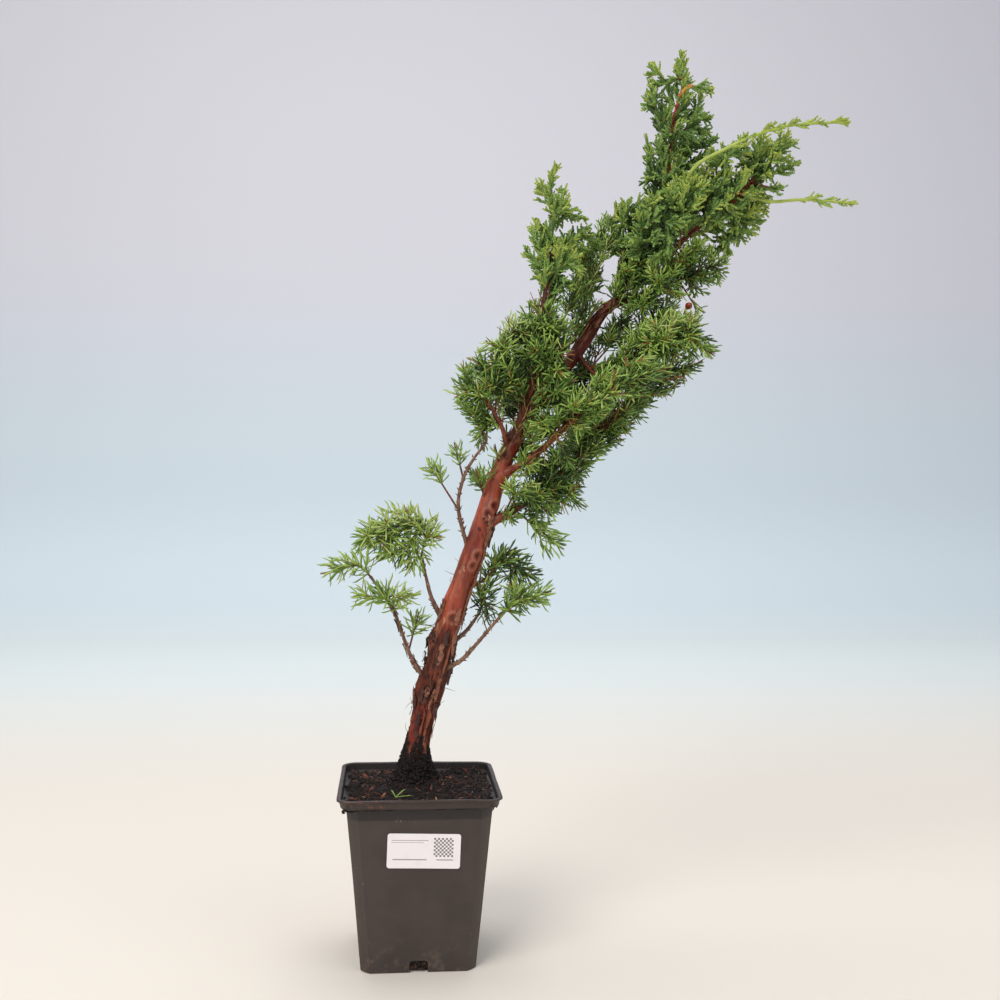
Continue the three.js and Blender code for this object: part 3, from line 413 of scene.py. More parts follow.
class Mass:
    """A mass of foliage: its space, and the stems that run through it."""

    def __init__(self, name, index, kind, start, at, *balls, fresh=0, beyond=USUAL_BEYOND, awls=False):
        self.name, self.index, self.kind = name, index, kind
        self.fresh, self.beyond, self.awls = fresh, beyond, awls
        root = limbs[start].at(at)[0]
        parents = [ball[4] if len(ball) > 4 else i - 1 for i, ball in enumerate(balls)]
        self.balls = np.array([ball[:4] for ball in balls], float)
        self.balls[:, 3] *= FULLNESS
        heads = self.balls[[max(parent, 0) for parent in parents]]
        self.links = np.hstack([heads[:, :3], self.balls[:, :3], heads[:, 3:], self.balls[:, 3:]])
        self.stems = []
        for i, ball in enumerate(balls):
            if i > 0 and len(ball) < 5:
                self.stems[-1].append(ball[:3])
            else:
                self.stems.append([root if i == 0 else balls[parents[i]][:3], ball[:3]])
            reach = ball[3] * STEM_REACH
            if i + 1 == len(balls) or len(balls[i + 1]) > 4:
                before, last = np.array(self.stems[-1][-2:], float)
                self.stems[-1].append(last + unit(last - before) * reach)
        self.bare = np.linalg.norm(root - self.balls[0, :3]) - balls[0][3] * 0.8
        self.centre = self.balls[:, :3].mean(axis=0)

    def outside(self, places):
        """How far places lie inside (below 0) or outside the mass's space."""
        places = np.atleast_2d(places)
        starts = self.links[None, :, :3]
        along = self.links[None, :, 3:6] - starts
        length = np.maximum(dot(along, along), 1e-9)
        share = np.clip(dot(places[:, None] - starts, along) / length, 0, 1)
        near = self.links[None, :, 6:7]
        reach = near + (self.links[None, :, 7:8] - near) * share
        gap = np.linalg.norm(starts + along * share - places[:, None], axis=-1)
        return (gap - reach[..., 0]).min(axis=1)

    def owns(self, places, thickness):
        """True for places that are deeper in this space than in any other."""
        own = self.outside(places)
        owned = own <= 0
        for other in self.neighbours:
            owned &= other.outside(places) - own > 2 * thickness + 0.4
        return owned

    def clear(self, starts, ends, thickness):
        """True for stretches that keep off every limb and every other stem."""
        return (between(starts, ends, self.obstacles) > thickness + CLEAR + 0.2).all(axis=1)


limbs = {"trunk": Limb([row[:3] for row in TRUNK], [row[3] for row in TRUNK])}
for name, (at, base, tip, *places) in BOUGHS.items():
    limbs[name] = Limb([limbs["trunk"].at(at)[0], *places], [base, tip])

masses = [
    Mass(name, index, kind, *row, **look)
    for index, (name, (kind, row, look)) in enumerate(MASSES.items())
]

for mass in masses:
    rows = [limb.stretches() for limb in limbs.values()]
    mass.neighbours = []
    for other in masses:
        if other is mass:
            continue
        reach = np.maximum(other.links[:, 6], other.links[:, 7])
        spaces = np.hstack([other.links[:, :6], 2 * reach[:, None]])
        own = np.maximum(mass.links[:, 6], mass.links[:, 7])[:, None]
        if (between(mass.links[:, :3], mass.links[:, 3:6], spaces) < 2 * own).any():
            mass.neighbours.append(other)
        for stem in other.stems:
            steps = np.linspace(0, 1, 12)
            rows.append(stretches_of(Curve(stem).at(steps), KINDS[other.kind]["core"]))
    rows = np.vstack(rows)
    near = between(mass.links[:, :3], mass.links[:, 3:6], rows).min(axis=0)
    mass.obstacles = rows[near < mass.balls[:, 3].max() + 12]


def carried(aheads):
    """Directions to the side and up along lines, carried on untwisted from place to place."""
    steep = np.abs(aheads[..., 0, 2:]) > 0.95
    side = unit(np.cross(np.where(steep, RIGHT, UP), aheads[..., 0, :]))
    sides = []
    for k in range(aheads.shape[-2]):
        side = unit(side - aheads[..., k, :] * dot(side, aheads[..., k, :]))
        sides.append(side)
    sides = np.stack(sides, axis=-2)
    return sides, np.cross(aheads, sides)


class Plant:
    """What has grown in a mass: its shoots, and the faces that more can grow from."""

    def __init__(self, mass):
        self.mass = mass
        self.kind = KINDS[mass.kind]
        self.shoots = []
        self.growth = np.zeros((0, 7))
        self.owners = np.zeros(0, int)
        # each face: its middle, corner, directions ahead and outward, shoot, and whether free
        self.faces = [np.zeros((0, 3)) for _ in range(4)] + [np.zeros(0, int), np.zeros(0, bool)]

    def add_shoot(self, curve, core, bare=0, face=None):
        """A six-sided shoot along a curve, from a face of another one or from the limb."""
        first = 0 if face is None else 1
        count = max(1, math.floor((curve.length - FIRST_TIER * first) / self.kind["tier"] + 0.5))
        begin = FIRST_TIER * first / curve.length
        shares = [0] * first + [begin + (1 - begin) * i / count for i in range(count + 1)]
        middles = curve.at_share(shares)
        aheads = curve.ahead(shares)
        sides, ups = carried(aheads)
        phase = 0
        if face is not None:
            self.faces[5][face] = False
            lean = self.faces[1][face] - middles[1]
            phase = math.atan2(lean @ ups[1], lean @ sides[1])
        number = len(self.shoots)
        runs = np.cumsum([0, *np.linalg.norm(np.diff(middles, axis=0), axis=1)])
        odd = np.arange(6) % 2
        for i in range(first, len(shares) - 1):
            reach = core * (1 + (TIP_CORE - 1) * i / (len(shares) - 1))
            turns = phase + np.radians(60 * (i - first) + 60 * np.arange(6) + 60)
            rise = ((1 + odd) / 3)[:, None]
            corner_way = around(sides[i], ups[i], turns - math.radians(60))
            grown = [
                middles[i] + (middles[i + 1] - middles[i]) * rise,
                middles[i + odd] + corner_way * reach,
                np.tile(aheads[i], (6, 1)), around(sides[i], ups[i], turns),
                np.full(6, number), np.full(6, runs[i] >= bare),
            ]
            self.faces = [np.concatenate(pair) for pair in zip(self.faces, grown)]
        tip = middles[-1] + aheads[-1] * self.kind["leaf"] * TIP_ROOM
        rows = stretches_of(np.vstack([middles, tip]), 0)
        self.growth = np.vstack([self.growth, rows])
        self.owners = np.append(self.owners, [number] * len(rows))
        least_bare = 2.0 if face is None else 1.5
        self.shoots.append({"curve": curve, "core": core, "bare": max(bare, least_bare)})

    def add_fork(self, stem):
        starts, _, _, outwards, _, free = self.faces
        free = np.flatnonzero(free)
        headings = unit(np.array(stem[1], float) - starts[free])
        worths = np.linalg.norm(starts[free] - np.array(stem[0], float), axis=1)
        face = free[np.argmin(worths - 8 * (outwards[free] * headings).sum(axis=1))]
        elbow = starts[face] + outwards[face] * 2 * FIRST_TIER
        curve = Curve([starts[face], elbow, *stem[1:]])
        self.add_shoot(curve, self.kind["core"] * TWIG_CORE, face=face)

    def faces_towards(self, place):
        """The free faces that look towards a place, the best first."""
        starts, _, aheads, outwards, _, free = self.faces
        distances = np.linalg.norm(place - starts, axis=1)
        headings = (place - starts) / np.maximum(distances, 1e-9)[:, None]
        onward, outward = ((headings * ways).sum(axis=1) for ways in (aheads, outwards))
        good = free & (distances >= SHORTEST_TWIG) & (distances <= LONGEST_TWIG)
        good &= (onward >= LEAST_ONWARD) & (onward <= MOST_ONWARD) & (outward >= LEAST_OUTWARD)
        worth = np.where(good, distances / np.maximum(outward, 0.1), np.inf)
        order = np.argsort(worth)[:FACES_TRIED]
        return [face for face in order if good[face]]

    def twig_fits(self, face, end):
        start = self.faces[0][face]
        length = np.linalg.norm(end - start)
        along = (end - start) / length
        core = self.kind["core"]
        free = start + along * TWIG_ROOM
        beyond = end + along * self.kind["leaf"] * TIP_ROOM
        runs = np.arange(FIRST_TIER, length, STEP)[:, None]
        if not self.mass.owns(start + along * runs, core).all():
            return False
        if not self.mass.clear(free[None], beyond[None], core).all():
            return False
        others = self.growth[self.owners != self.faces[4][face]]
        return len(others) == 0 or (between(free[None], beyond[None], others) > TWIG_ROOM).all()

    def add_twigs(self, targets):
        """Twigs grow one by one, each towards the place furthest from all growth."""
        distances = between(targets, targets, self.growth).min(axis=1)
        fill = self.kind["fill"] * (THIN_FILL if self.mass.index >= THINNER else 1)
        while distances.max() > fill:
            furthest = int(np.argmax(distances))
            place = targets[furthest]
            distances[furthest] = 0
            fitting = (face for face in self.faces_towards(place) if self.twig_fits(face, place))
            face = next(fitting, None)
            if face is not None:
                grown = len(self.growth)
                curve = Curve([self.faces[0][face], place])
                self.add_shoot(curve, self.kind["core"] * TWIG_CORE, face=face)
                nearer = between(targets, targets, self.growth[grown:]).min(axis=1)
                distances = np.minimum(distances, nearer)


def targets_in(mass, kind, draw):
    """Places spread evenly through a mass's own space, that its twigs grow towards."""
    low = (mass.balls[:, :3] - mass.balls[:, 3:]).min(axis=0)
    high = (mass.balls[:, :3] + mass.balls[:, 3:]).max(axis=0)
    spread = kind["spread"]
    places = [
        (x + spread * (draw() - 0.5), y + spread * (draw() - 0.5), z + spread * (draw() - 0.5))
        for x in np.arange(low[0], high[0], spread)
        for y in np.arange(low[1], high[1], spread)
        for z in np.arange(low[2], high[2], spread)
    ]
    places = np.array(places)
    inside = mass.outside(places) < -kind["leaf"] * TIP_ROOM
    return places[inside & mass.owns(places, kind["core"])]


def grow(mass):
    """One mass: its stem with its forks, and its twigs."""
    plant = Plant(mass)
    main, *forks = mass.stems
    plant.add_shoot(Curve(main), plant.kind["core"], mass.bare)
    for fork in forks:
        plant.add_fork(fork)
    targets = targets_in(mass, plant.kind, drawer(101 + mass.index))
    if len(targets) > 0:
        plant.add_twigs(targets)
    return plant


plants = [grow(mass) for mass in masses]


def scatter(ix, iy, iz, seed):
    """A number from 0 to 1 for each whole place of a lattice."""
    mixed = ix * np.uint32(374761393) + iy * np.uint32(668265263) + iz * np.uint32(2147483629)
    mixed = mixed + np.uint32((seed * 974634777) & 0xFFFFFFFF)
    mixed = (mixed ^ (mixed >> np.uint32(13))) * np.uint32(1274126177)
    mixed = (mixed ^ (mixed >> np.uint32(16))) * np.uint32(2246822519)
    return ((mixed ^ (mixed >> np.uint32(15))) >> np.uint32(8)).astype(float) / 16777216


def noise(places, scale, seed, octaves=1):
    """Smooth noise from -1 to 1, with grains of about the scale."""
    total = np.zeros(len(places))
    weight = 1.0
    weights = 0.0
    for octave in range(octaves):
        cells = places / scale * 2**octave + 1000 + 37.3 * octave
        whole = np.floor(cells)
        part = cells - whole
        part = part * part * (3 - 2 * part)
        low = whole.astype(np.int64).astype(np.uint32)
        value = np.zeros(len(places))
        for corner in range(8):
            step = np.array([corner & 1, corner >> 1 & 1, corner >> 2 & 1], np.uint32)
            share = np.where(step == 1, part, 1 - part).prod(axis=1)
            value += share * scatter(*(low + step).T, seed + octave)
        total += weight * (2 * value - 1)
        weights += weight
        weight /= 2
    return total / weights


def ease(values, low, high):
    """Runs smoothly from 0 below low to 1 above high."""
    share = np.clip((values - low) / (high - low), 0, 1)
    return share * share * (3 - 2 * share)


TURN = math.radians(TREE_TURN)
TREE_AXES = np.array([
    [math.cos(TURN), math.sin(TURN), 0],
    [-math.sin(TURN), math.cos(TURN), 0],
    [0, 0, 1],
])


def on_tree(places):
    """The tree's own places, turned with it about the pot's middle."""
    return places @ TREE_AXES


def add_object(name, data):
    obj = bpy.data.objects.new(name, data)
    bpy.context.scene.collection.objects.link(obj)
    return obj


class Shape:
    """The places and faces of a mesh, in millimetres, gathered from many parts."""

    def __init__(self):
        self.places, self.quads, self.triangles = [], [], []
        self.values, self.count = {}, 0

    def add(self, places, quads=(), triangles=(), **values):
        places = np.asarray(places, float).reshape(-1, 3)
        self.places.append(places)
        self.quads.append(np.asarray(quads, int).reshape(-1, 4) + self.count)
        self.triangles.append(np.asarray(triangles, int).reshape(-1, 3) + self.count)
        for name, value in values.items():
            self.values.setdefault(name, []).append(np.broadcast_to(value, len(places)))
        self.count += len(places)

    def piece(self, name, slot, finish=None, replaced=(), smooth=True, tree=True):
        """The mesh as a piece that rides with the pot, with its own finish or another."""
        places = np.vstack(self.places)
        if tree:
            places = on_tree(places)
        quads, triangles = np.vstack(self.quads), np.vstack(self.triangles)
        sizes = np.repeat([4, 3], [len(quads), len(triangles)])
        corners = np.concatenate([quads.ravel(), triangles.ravel()]).astype(np.int32)
        mesh = bpy.data.meshes.new(name)
        mesh.vertices.add(len(places))
        mesh.vertices.foreach_set("co", (places * MM).astype(np.float32).ravel())
        mesh.loops.add(len(corners))
        mesh.loops.foreach_set("vertex_index", corners)
        mesh.polygons.add(len(sizes))
        starts = np.concatenate([[0], np.cumsum(sizes)[:-1]]).astype(np.int32)
        mesh.polygons.foreach_set("loop_start", starts)
        mesh.polygons.foreach_set("use_smooth", np.full(len(sizes), smooth))
        mesh.update(calc_edges=True)
        for key, parts in self.values.items():
            layer = mesh.attributes.new(key, "FLOAT", "POINT")
            layer.data.foreach_set("value", np.concatenate(parts).astype(np.float32))
        mesh.materials.append(finishes[finish or name])
        obj = add_object(name, mesh)
        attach(obj, "root")
        if replaced:
            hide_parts(*replaced)
        return obj

    def pieces(self, name, slot, replaced):
        """The mesh as a piece, or as more where one would hold too many faces."""
        part, faces, number = Shape(), 0, 1
        for places, quads, triangles in zip(self.places, self.quads, self.triangles):
            size = 2 * len(quads) + len(triangles)
            if faces + size > MOST_FACES:
                part.piece(f"{name}_{number}", slot, name, replaced, slot == "needles")
                part, faces, number = Shape(), 0, number + 1
            first = min(quads.min(), triangles.min())
            part.add(places, quads - first, triangles - first)
            faces += size
        part.piece(f"{name}_{number}", slot, name, replaced, slot == "needles")


def skin_piece(skin, name, node, finish, smooth=True):
    """One closed skin as a piece, in the place of the given node."""
    shape = Shape()
    shape.add(*skin)
    return shape.piece(name, node, finish, [node], smooth, tree=False)


def ring_faces(count, rings, sides):
    """Four-cornered faces between the rings of many tubes."""
    first = np.arange(count)[:, None, None] * rings * sides
    level = np.arange(rings - 1)[None, :, None] * sides
    k = np.arange(sides)[None, None, :]
    low = first + level + k
    following = first + level + (k + 1) % sides
    return np.stack([low, following, following + sides, low + sides], axis=-1).reshape(-1, 4)


def frames_of(paths):
    """Directions ahead, side and up along many lines of equally many places."""
    aheads = unit(np.gradient(paths, axis=1))
    return aheads, *carried(aheads)


def add_tubes(shape, paths, radii, sides, spin=0.0, **values):
    """Adds many tubes at once: paths has (tubes, places, 3), radii (tubes, places). Each ring
    is turned on by spin, and the end is closed by a point."""
    count, rings = paths.shape[:2]
    aheads, across, ups = frames_of(paths)
    turns = 2 * math.pi * np.arange(sides) / sides
    turns = turns[None, None, :, None] + spin * np.arange(rings)[None, :, None, None]
    ways = across[:, :, None] * np.cos(turns) + ups[:, :, None] * np.sin(turns)
    places = paths[:, :, None] + ways * radii[:, :, None, None]
    tips = paths[:, -1] + aheads[:, -1] * radii[:, -1:] * 0.9
    quads = ring_faces(count, rings, sides)
    last = (np.arange(count) * rings + rings - 1)[:, None] * sides
    k = np.arange(sides)[None, :]
    tip = count * rings * sides + np.arange(count)[:, None] + 0 * k
    caps = np.stack([last + k, last + (k + 1) % sides, tip], axis=-1)
    values = {
        key: np.concatenate([np.repeat(value.ravel(), sides), value[:, -1]])
        for key, value in values.items()
    }
    shape.add(np.vstack([places.reshape(-1, 3), tips]), quads, caps, **values)


def add_tube(shape, path, radii, sides):
    add_tubes(shape, np.array([path], float), np.array([radii]), sides)


def add_leaves(shape, bases, heads, outwards, lengths, widths, bow=0.16):
    """Adds many needles at once: slim three-sided blades of even width, bowed inward."""
    across = unit(np.cross(heads, outwards))
    over = np.cross(across, heads)
    count = len(bases)
    rings = []
    for share, wide in ((0.0, 0.72), (0.76, 1.0)):
        middle = bases + heads * (lengths * share)[:, None]
        middle = middle + over * (bow * lengths * share * (1 - share) * 2)[:, None]
        half = (widths * wide / 2)[:, None]
        rings.append(np.stack([
            middle + across * half + over * half * 0.3,
            middle - across * half + over * half * 0.3,
            middle - over * half * 0.75,
        ], axis=1))
    tips = bases + heads * lengths[:, None]
    places = np.concatenate([rings[0], rings[1], tips[:, None]], axis=1)
    first = np.arange(count)[:, None] * 7
    quads = [first + np.array(row) for row in ([0, 1, 4, 3], [1, 2, 5, 4], [2, 0, 3, 5])]
    caps = [first + np.array(row) for row in ([3, 4, 6], [4, 5, 6], [5, 3, 6])]
    shape.add(places.reshape(-1, 3), np.vstack(quads), np.vstack(caps))


def math_node(operation, swapped=False):
    """A method that joins a value and others by a Math node."""

    def method(self, *others):
        terms = (*others, self) if swapped else (self, *others)
        return self.paint.node("Math", {"operation": operation}, dict(enumerate(terms)))

    return method


class Value:
    """A number or vector that varies over a surface. Sums on it add Math nodes."""

    def __init__(self, paint, link):
        self.paint, self.link = paint, link

    __add__ = __radd__ = math_node("ADD")
    __sub__ = math_node("SUBTRACT")
    __rsub__ = math_node("SUBTRACT", swapped=True)
    __mul__ = __rmul__ = math_node("MULTIPLY")
    __truediv__ = math_node("DIVIDE")
    smallest = math_node("MINIMUM")
    largest = math_node("MAXIMUM")
    size = math_node("ABSOLUTE")
    part = math_node("FRACT")

    def between(self, low, high):
        """Runs smoothly from 0 below low to 1 above high; the other way if low is larger."""
        sockets = {0: self, 1: low, 2: high, 3: 0.0, 4: 1.0}
        if low > high:
            sockets = {0: self, 1: high, 2: low, 3: 1.0, 4: 0.0}
        return self.paint.node("MapRange", {"interpolation_type": "SMOOTHSTEP"}, sockets)


def linear(colour):
    """The colour of a hex number, as the shader takes it."""
    parts = [(colour >> shift & 255) / 255 for shift in (16, 8, 0)]
    return tuple(c / 12.92 if c <= 0.04045 else ((c + 0.055) / 1.055) ** 2.4 for c in parts) + (1,)


class Paint:
    """A material, and the nodes that make it."""

    def __init__(self, name, colour, roughness, **fixed):
        self.material = bpy.data.materials.new(name)
        self.material.use_nodes = True
        self.tree = self.material.node_tree
        self.shader = self.tree.nodes["Principled BSDF"]
        self.fill("Base Color", linear(colour))
        self.fill("Roughness", roughness)
        for socket, value in fixed.items():
            self.fill(socket.replace("_", " "), value)

    def fill(self, socket, value):
        self.join(self.shader.inputs[socket], value)

    def join(self, socket, value):
        if isinstance(value, Value):
            self.tree.links.new(value.link, socket)
        else:
            socket.default_value = value

    def node(self, kind, settings=None, sockets=None, out=0):
        """Adds a node: its settings first, then the values or links of its sockets."""
        node = self.tree.nodes.new("ShaderNode" + kind)
        for name, setting in (settings or {}).items():
            setattr(node, name, setting)
        for socket, value in (sockets or {}).items():
            self.join(node.inputs[socket], value)
        return Value(self, node.outputs[out])

    def place(self):
        return self.node("TexCoord", out="Object")

    def axis(self, which):
        """A place along one axis, in metres: 0 to the right, 1 to the back, 2 up."""
        return self.node("SeparateXYZ", {}, {0: self.place()}, out=which)

    def grown(self, name):
        """A value that the mesh carries at each of its places."""
        return self.node("Attribute", {"attribute_name": name}, out="Fac")

    def stretched(self, x, y, z):
        vector = {0: self.place(), 1: (x, y, z)}
        return self.node("VectorMath", {"operation": "MULTIPLY"}, vector)

    def grain(self, scale, detail=3.0, vector=None, rough=0.55):
        """Noise from about 0 to 1, with grains of the scale in millimetres."""
        sockets = {
            "Vector": vector or self.place(), "Scale": 1000 / scale, "Detail": detail,
            "Roughness": rough,
        }
        return self.node("TexNoise", {}, sockets)

    def cells(self, scale):
        """How far each place is from the middle of its cell, from 0 to about 1."""
        sockets = {"Vector": self.place(), "Scale": 1000 / scale}
        return self.node("TexVoronoi", {}, sockets, "Distance")

    def mix(self, share, first, second):
        """A colour between two, given as hex numbers or as links."""
        first = linear(first) if isinstance(first, int) else first
        second = linear(second) if isinstance(second, int) else second
        return self.node("Mix", {"data_type": "RGBA"}, {0: share, 6: first, 7: second}, out=2)

    def coats(self, body, *coats):
        """A colour with others laid over it, each as its share and its colour."""
        for share, colour in coats:
            body = self.mix(share, body, colour)
        return body

    def bumps(self, height, distance, strength=1.0):
        """Raises the surface by a height of 0 to 1 over a distance in millimetres."""
        sockets = {"Height": height, "Distance": distance * MM, "Strength": strength}
        self.fill("Normal", self.node("Bump", {}, sockets))


def square_ring(width, corner, roundness, height, side_steps=12):
    """A square ring with its corners rounded (1) or cut off straight (0), spread evenly
    along its four sides."""
    inset = width / 2 - corner
    shares = np.linspace(0, 1, 9)
    turns = shares * math.pi / 2
    x = (width / 2 - corner * shares) * (1 - roundness)
    x = x + (inset + corner * np.cos(turns)) * roundness
    y = (inset + corner * shares) * (1 - roundness)
    y = y + (inset + corner * np.sin(turns)) * roundness
    run = np.linspace(x[-1], -x[-1], side_steps + 1)[1:-1]
    x = np.concatenate([x, run])
    y = np.concatenate([y, np.full(len(run), y[-1])])
    ring = []
    for quarter in range(4):
        cos, sin = math.cos(quarter * math.pi / 2), math.sin(quarter * math.pi / 2)
        ring.append(np.stack([x * cos - y * sin, x * sin + y * cos, 0 * x + height], axis=1))
    return np.vstack(ring)


def body_width(height):
    return BODY_BASE_WIDTH + (BODY_TOP_WIDTH - BODY_BASE_WIDTH) * height / BODY_HEIGHT


def closed_skin(rings, ends=None):
    """A closed skin over rings, filled at both ends about their middles or given places."""
    rings = np.array(rings)
    count, sides = rings.shape[:2]
    if ends is None:
        ends = [rings[0].mean(axis=0), rings[-1].mean(axis=0)]
    k = np.arange(sides)
    following = (k + 1) % sides
    first = np.stack([following, k, np.full(sides, count * sides)], axis=1)
    last = (count - 1) * sides
    top = np.stack([last + k, last + following, np.full(sides, count * sides + 1)], axis=1)
    places = np.vstack([rings.reshape(-1, 3), ends])
    return places, ring_faces(1, count, sides), np.vstack([first, top])


def pot_rings():
    """The shell's rings: up its outside, over the thin wavy lip, and down its inside."""
    under = POT_HEIGHT - LIP_THICK
    rows = [
        (BODY_BASE_WIDTH - 3, CHAMFER_BASE, 0.35, 0),
        (BODY_BASE_WIDTH - 1.2, CHAMFER_BASE, 0.3, 0.1),
        (body_width(0.5), CHAMFER_BASE, 0.25, 0.5),
        (body_width(1.4), CHAMFER_BASE, 0.12, 1.4),
    ]
    for share in np.linspace(0, 1, 10)[1:]:
        height = 1.4 + (BODY_HEIGHT - 2) * share
        corner = CHAMFER_BASE + (CHAMFER_TOP - CHAMFER_BASE) * share
        rows.append((body_width(height), corner, 0.12, height))
    rows += [
        (BODY_TOP_WIDTH + 0.6, CHAMFER_TOP + 0.4, 0.3, BODY_HEIGHT - 0.2),
        (BAND_WIDTH - 2.6, LIP_CORNER - 2.2, 1, BODY_HEIGHT + 0.1),
        (BAND_WIDTH - 1.6, LIP_CORNER - 1.6, 1, BODY_HEIGHT + 0.6),
        (BAND_WIDTH - 0.3, LIP_CORNER - 1.1, 1, under - 1.4),
        (BAND_WIDTH + 0.3, LIP_CORNER - 1, 1, under - 0.5),
        (LIP_WIDTH - 0.8, LIP_CORNER, 1, under - 0.05),
        (LIP_WIDTH - 0.1, LIP_CORNER, 1, under + 0.15),
        (LIP_WIDTH, LIP_CORNER, 1, under + 0.6),
        (LIP_WIDTH - 0.2, LIP_CORNER, 1, POT_HEIGHT - 0.25),
        (LIP_WIDTH - 0.8, LIP_CORNER, 1, POT_HEIGHT),
        (BAND_WIDTH - 1.2, LIP_CORNER - 1.4, 1, POT_HEIGHT),
        (BAND_WIDTH - 2 * WALL, LIP_CORNER - 2, 1, POT_HEIGHT - 0.5),
        (BAND_WIDTH - 2 * WALL - 1.4, LIP_CORNER - 2.6, 1, BODY_HEIGHT + WALL + 0.8),
        (BODY_TOP_WIDTH - 2 * WALL + 0.8, CHAMFER_TOP, 0.6, BODY_HEIGHT + 0.4),
        (BODY_TOP_WIDTH - 2 * WALL, CHAMFER_TOP, 0.2, BODY_HEIGHT - 0.8),
        (body_width(FLOOR) - 2 * WALL, CHAMFER_BASE, 0.2, FLOOR),
    ]
    return [square_ring(*row) for row in rows]


def drain_mouths():
    """The four mouths at the foot of the walls, to be cut from the shell."""
    mouths = Shape()
    half, crown = DRAIN_WIDTH / 2, DRAIN_HEIGHT
    outline = [
        (-half, -2), (half, -2), (half, crown - 2), (half - 0.6, crown - 0.6), (half - 2, crown),
        (2 - half, crown), (0.6 - half, crown - 0.6), (-half, crown - 2),
    ]
    wall = -body_width(0) / 2
    depths = (wall - DRAIN_DEPTH, wall + DRAIN_DEPTH)
    ends = np.array([[(x, deep, z) for x, z in outline] for deep in depths])
    for cos, sin in ((1, 0), (0, 1), (-1, 0), (0, -1)):
        turn = np.array([[cos, sin, 0], [-sin, cos, 0], [0, 0, 1]])
        places, quads, triangles = closed_skin(ends @ turn)
        mouths.add(places, quads[:, ::-1], triangles[:, ::-1])
    return mouths.piece("drain_mouths", "pot", "pot_plastic", tree=False)


def make_pot():
    places, quads, triangles = closed_skin(pot_rings())
    # the thin lip waves up and down a little, and the walls aren't quite flat
    high = ease(places[:, 2], BODY_HEIGHT, POT_HEIGHT)
    places[:, 2] += LIP_WAVE * high * noise(places * LEVEL, 24, 5)
    away = unit(places * LEVEL)
    uneven = 0.35 * noise(places, 34, 6) + 0.08 * noise(places, 7, 7)
    places += away * (ease(places[:, 2], 3, 30) * uneven)[:, None]
    pot = skin_piece((places, quads, triangles), "pot_shell", "pot", "pot_plastic")
    cutter = drain_mouths()
    cut = pot.modifiers.new("drains", "BOOLEAN")
    cut.operation, cut.solver, cut.object = "DIFFERENCE", "EXACT", cutter
    graph = bpy.context.evaluated_depsgraph_get()
    made = bpy.data.meshes.new_from_object(pot.evaluated_get(graph))
    pot.modifiers.clear()
    pot.data = made
    bpy.data.objects.remove(cutter)
    for face in pot.data.polygons:
        face.use_smooth = True
    pot.data.set_sharp_from_angle(angle=math.radians(SHARP_EDGE))


def foot_place():
    return on_tree(np.array([TRUNK[0][:3]], float))[0]


def soil_height(places):
    """How high the soil lies under places, with its lumps."""
    foot = foot_place()
    flat = places * LEVEL
    away = np.linalg.norm(flat - foot * LEVEL, axis=1)
    edge = 0.5 * BAND_WIDTH - 5
    share = np.clip((edge - away) / (edge - MOUND_FLAT), 0, 1)
    rise = np.interp(share, [0, 0.3, 0.56, 0.76, 0.88, 0.96, 1], [0, 0, 0.08, 0.3, 0.62, 0.9, 1])
    lumps = 1.3 * noise(flat, 13, 21) + 0.9 * noise(flat, 5, 22) + 0.55 * noise(flat, 2.2, 23, 2)
    calm = 1 - 0.7 * rise
    settled = 1.6 * ease(np.abs(flat).max(axis=1), edge - 16, edge + 3)
    return SOIL_TOP + (MOUND_TOP - SOIL_TOP) * rise + lumps * calm - settled


def make_soil():
    def ring(width, corner, roundness, height):
        return square_ring(width - 2 * (WALL + CLEAR), corner, roundness, height, side_steps=32)

    low = BODY_HEIGHT - 1.4
    high = BODY_HEIGHT + WALL + 0.6
    rings = [
        ring(body_width(FLOOR) - 0.4, CHAMFER_BASE, 0.2, FLOOR + CLEAR),
        ring(body_width(low) - 0.4, CHAMFER_TOP, 0.2, low),
        ring(BAND_WIDTH - 2.4, LIP_CORNER - 2.6, 1, high - 0.6),
    ]
    edge = ring(BAND_WIDTH - 0.8, LIP_CORNER - 2, 1, high)
    foot = foot_place()
    for share in np.linspace(0, 0.985, 70):
        inner = edge + (foot - edge) * share
        inner[:, 2] = soil_height(inner)
        rings.append(inner)
    skin_piece(closed_skin(rings), "soil_bed", "soil", "peat")


LUMP = np.array([
    [0, 0, 1], [0.894, 0, 0.447], [0.276, 0.851, 0.447], [-0.724, 0.526, 0.447],
    [-0.724, -0.526, 0.447], [0.276, -0.851, 0.447], [0.724, 0.526, -0.447],
    [-0.276, 0.851, -0.447], [-0.894, 0, -0.447], [-0.276, -0.851, -0.447],
    [0.724, -0.526, -0.447], [0, 0, -1],
])
LUMP_FACES = np.array(
    [[0, i + 1, (i + 1) % 5 + 1] for i in range(5)]
    + [[i + 1, i + 6, (i + 1) % 5 + 1] for i in range(5)]
    + [[(i + 1) % 5 + 1, i + 6, (i + 1) % 5 + 6] for i in range(5)]
    + [[11, (i + 1) % 5 + 6, i + 6] for i in range(5)]
)


def turned(rng, count):
    """Turnings in any direction, as rows of three axes."""
    first = unit(rng.normal(size=(count, 3)))
    second = unit(np.cross(first, rng.normal(size=(count, 3))))
    return np.stack([first, second, np.cross(first, second)], axis=1)


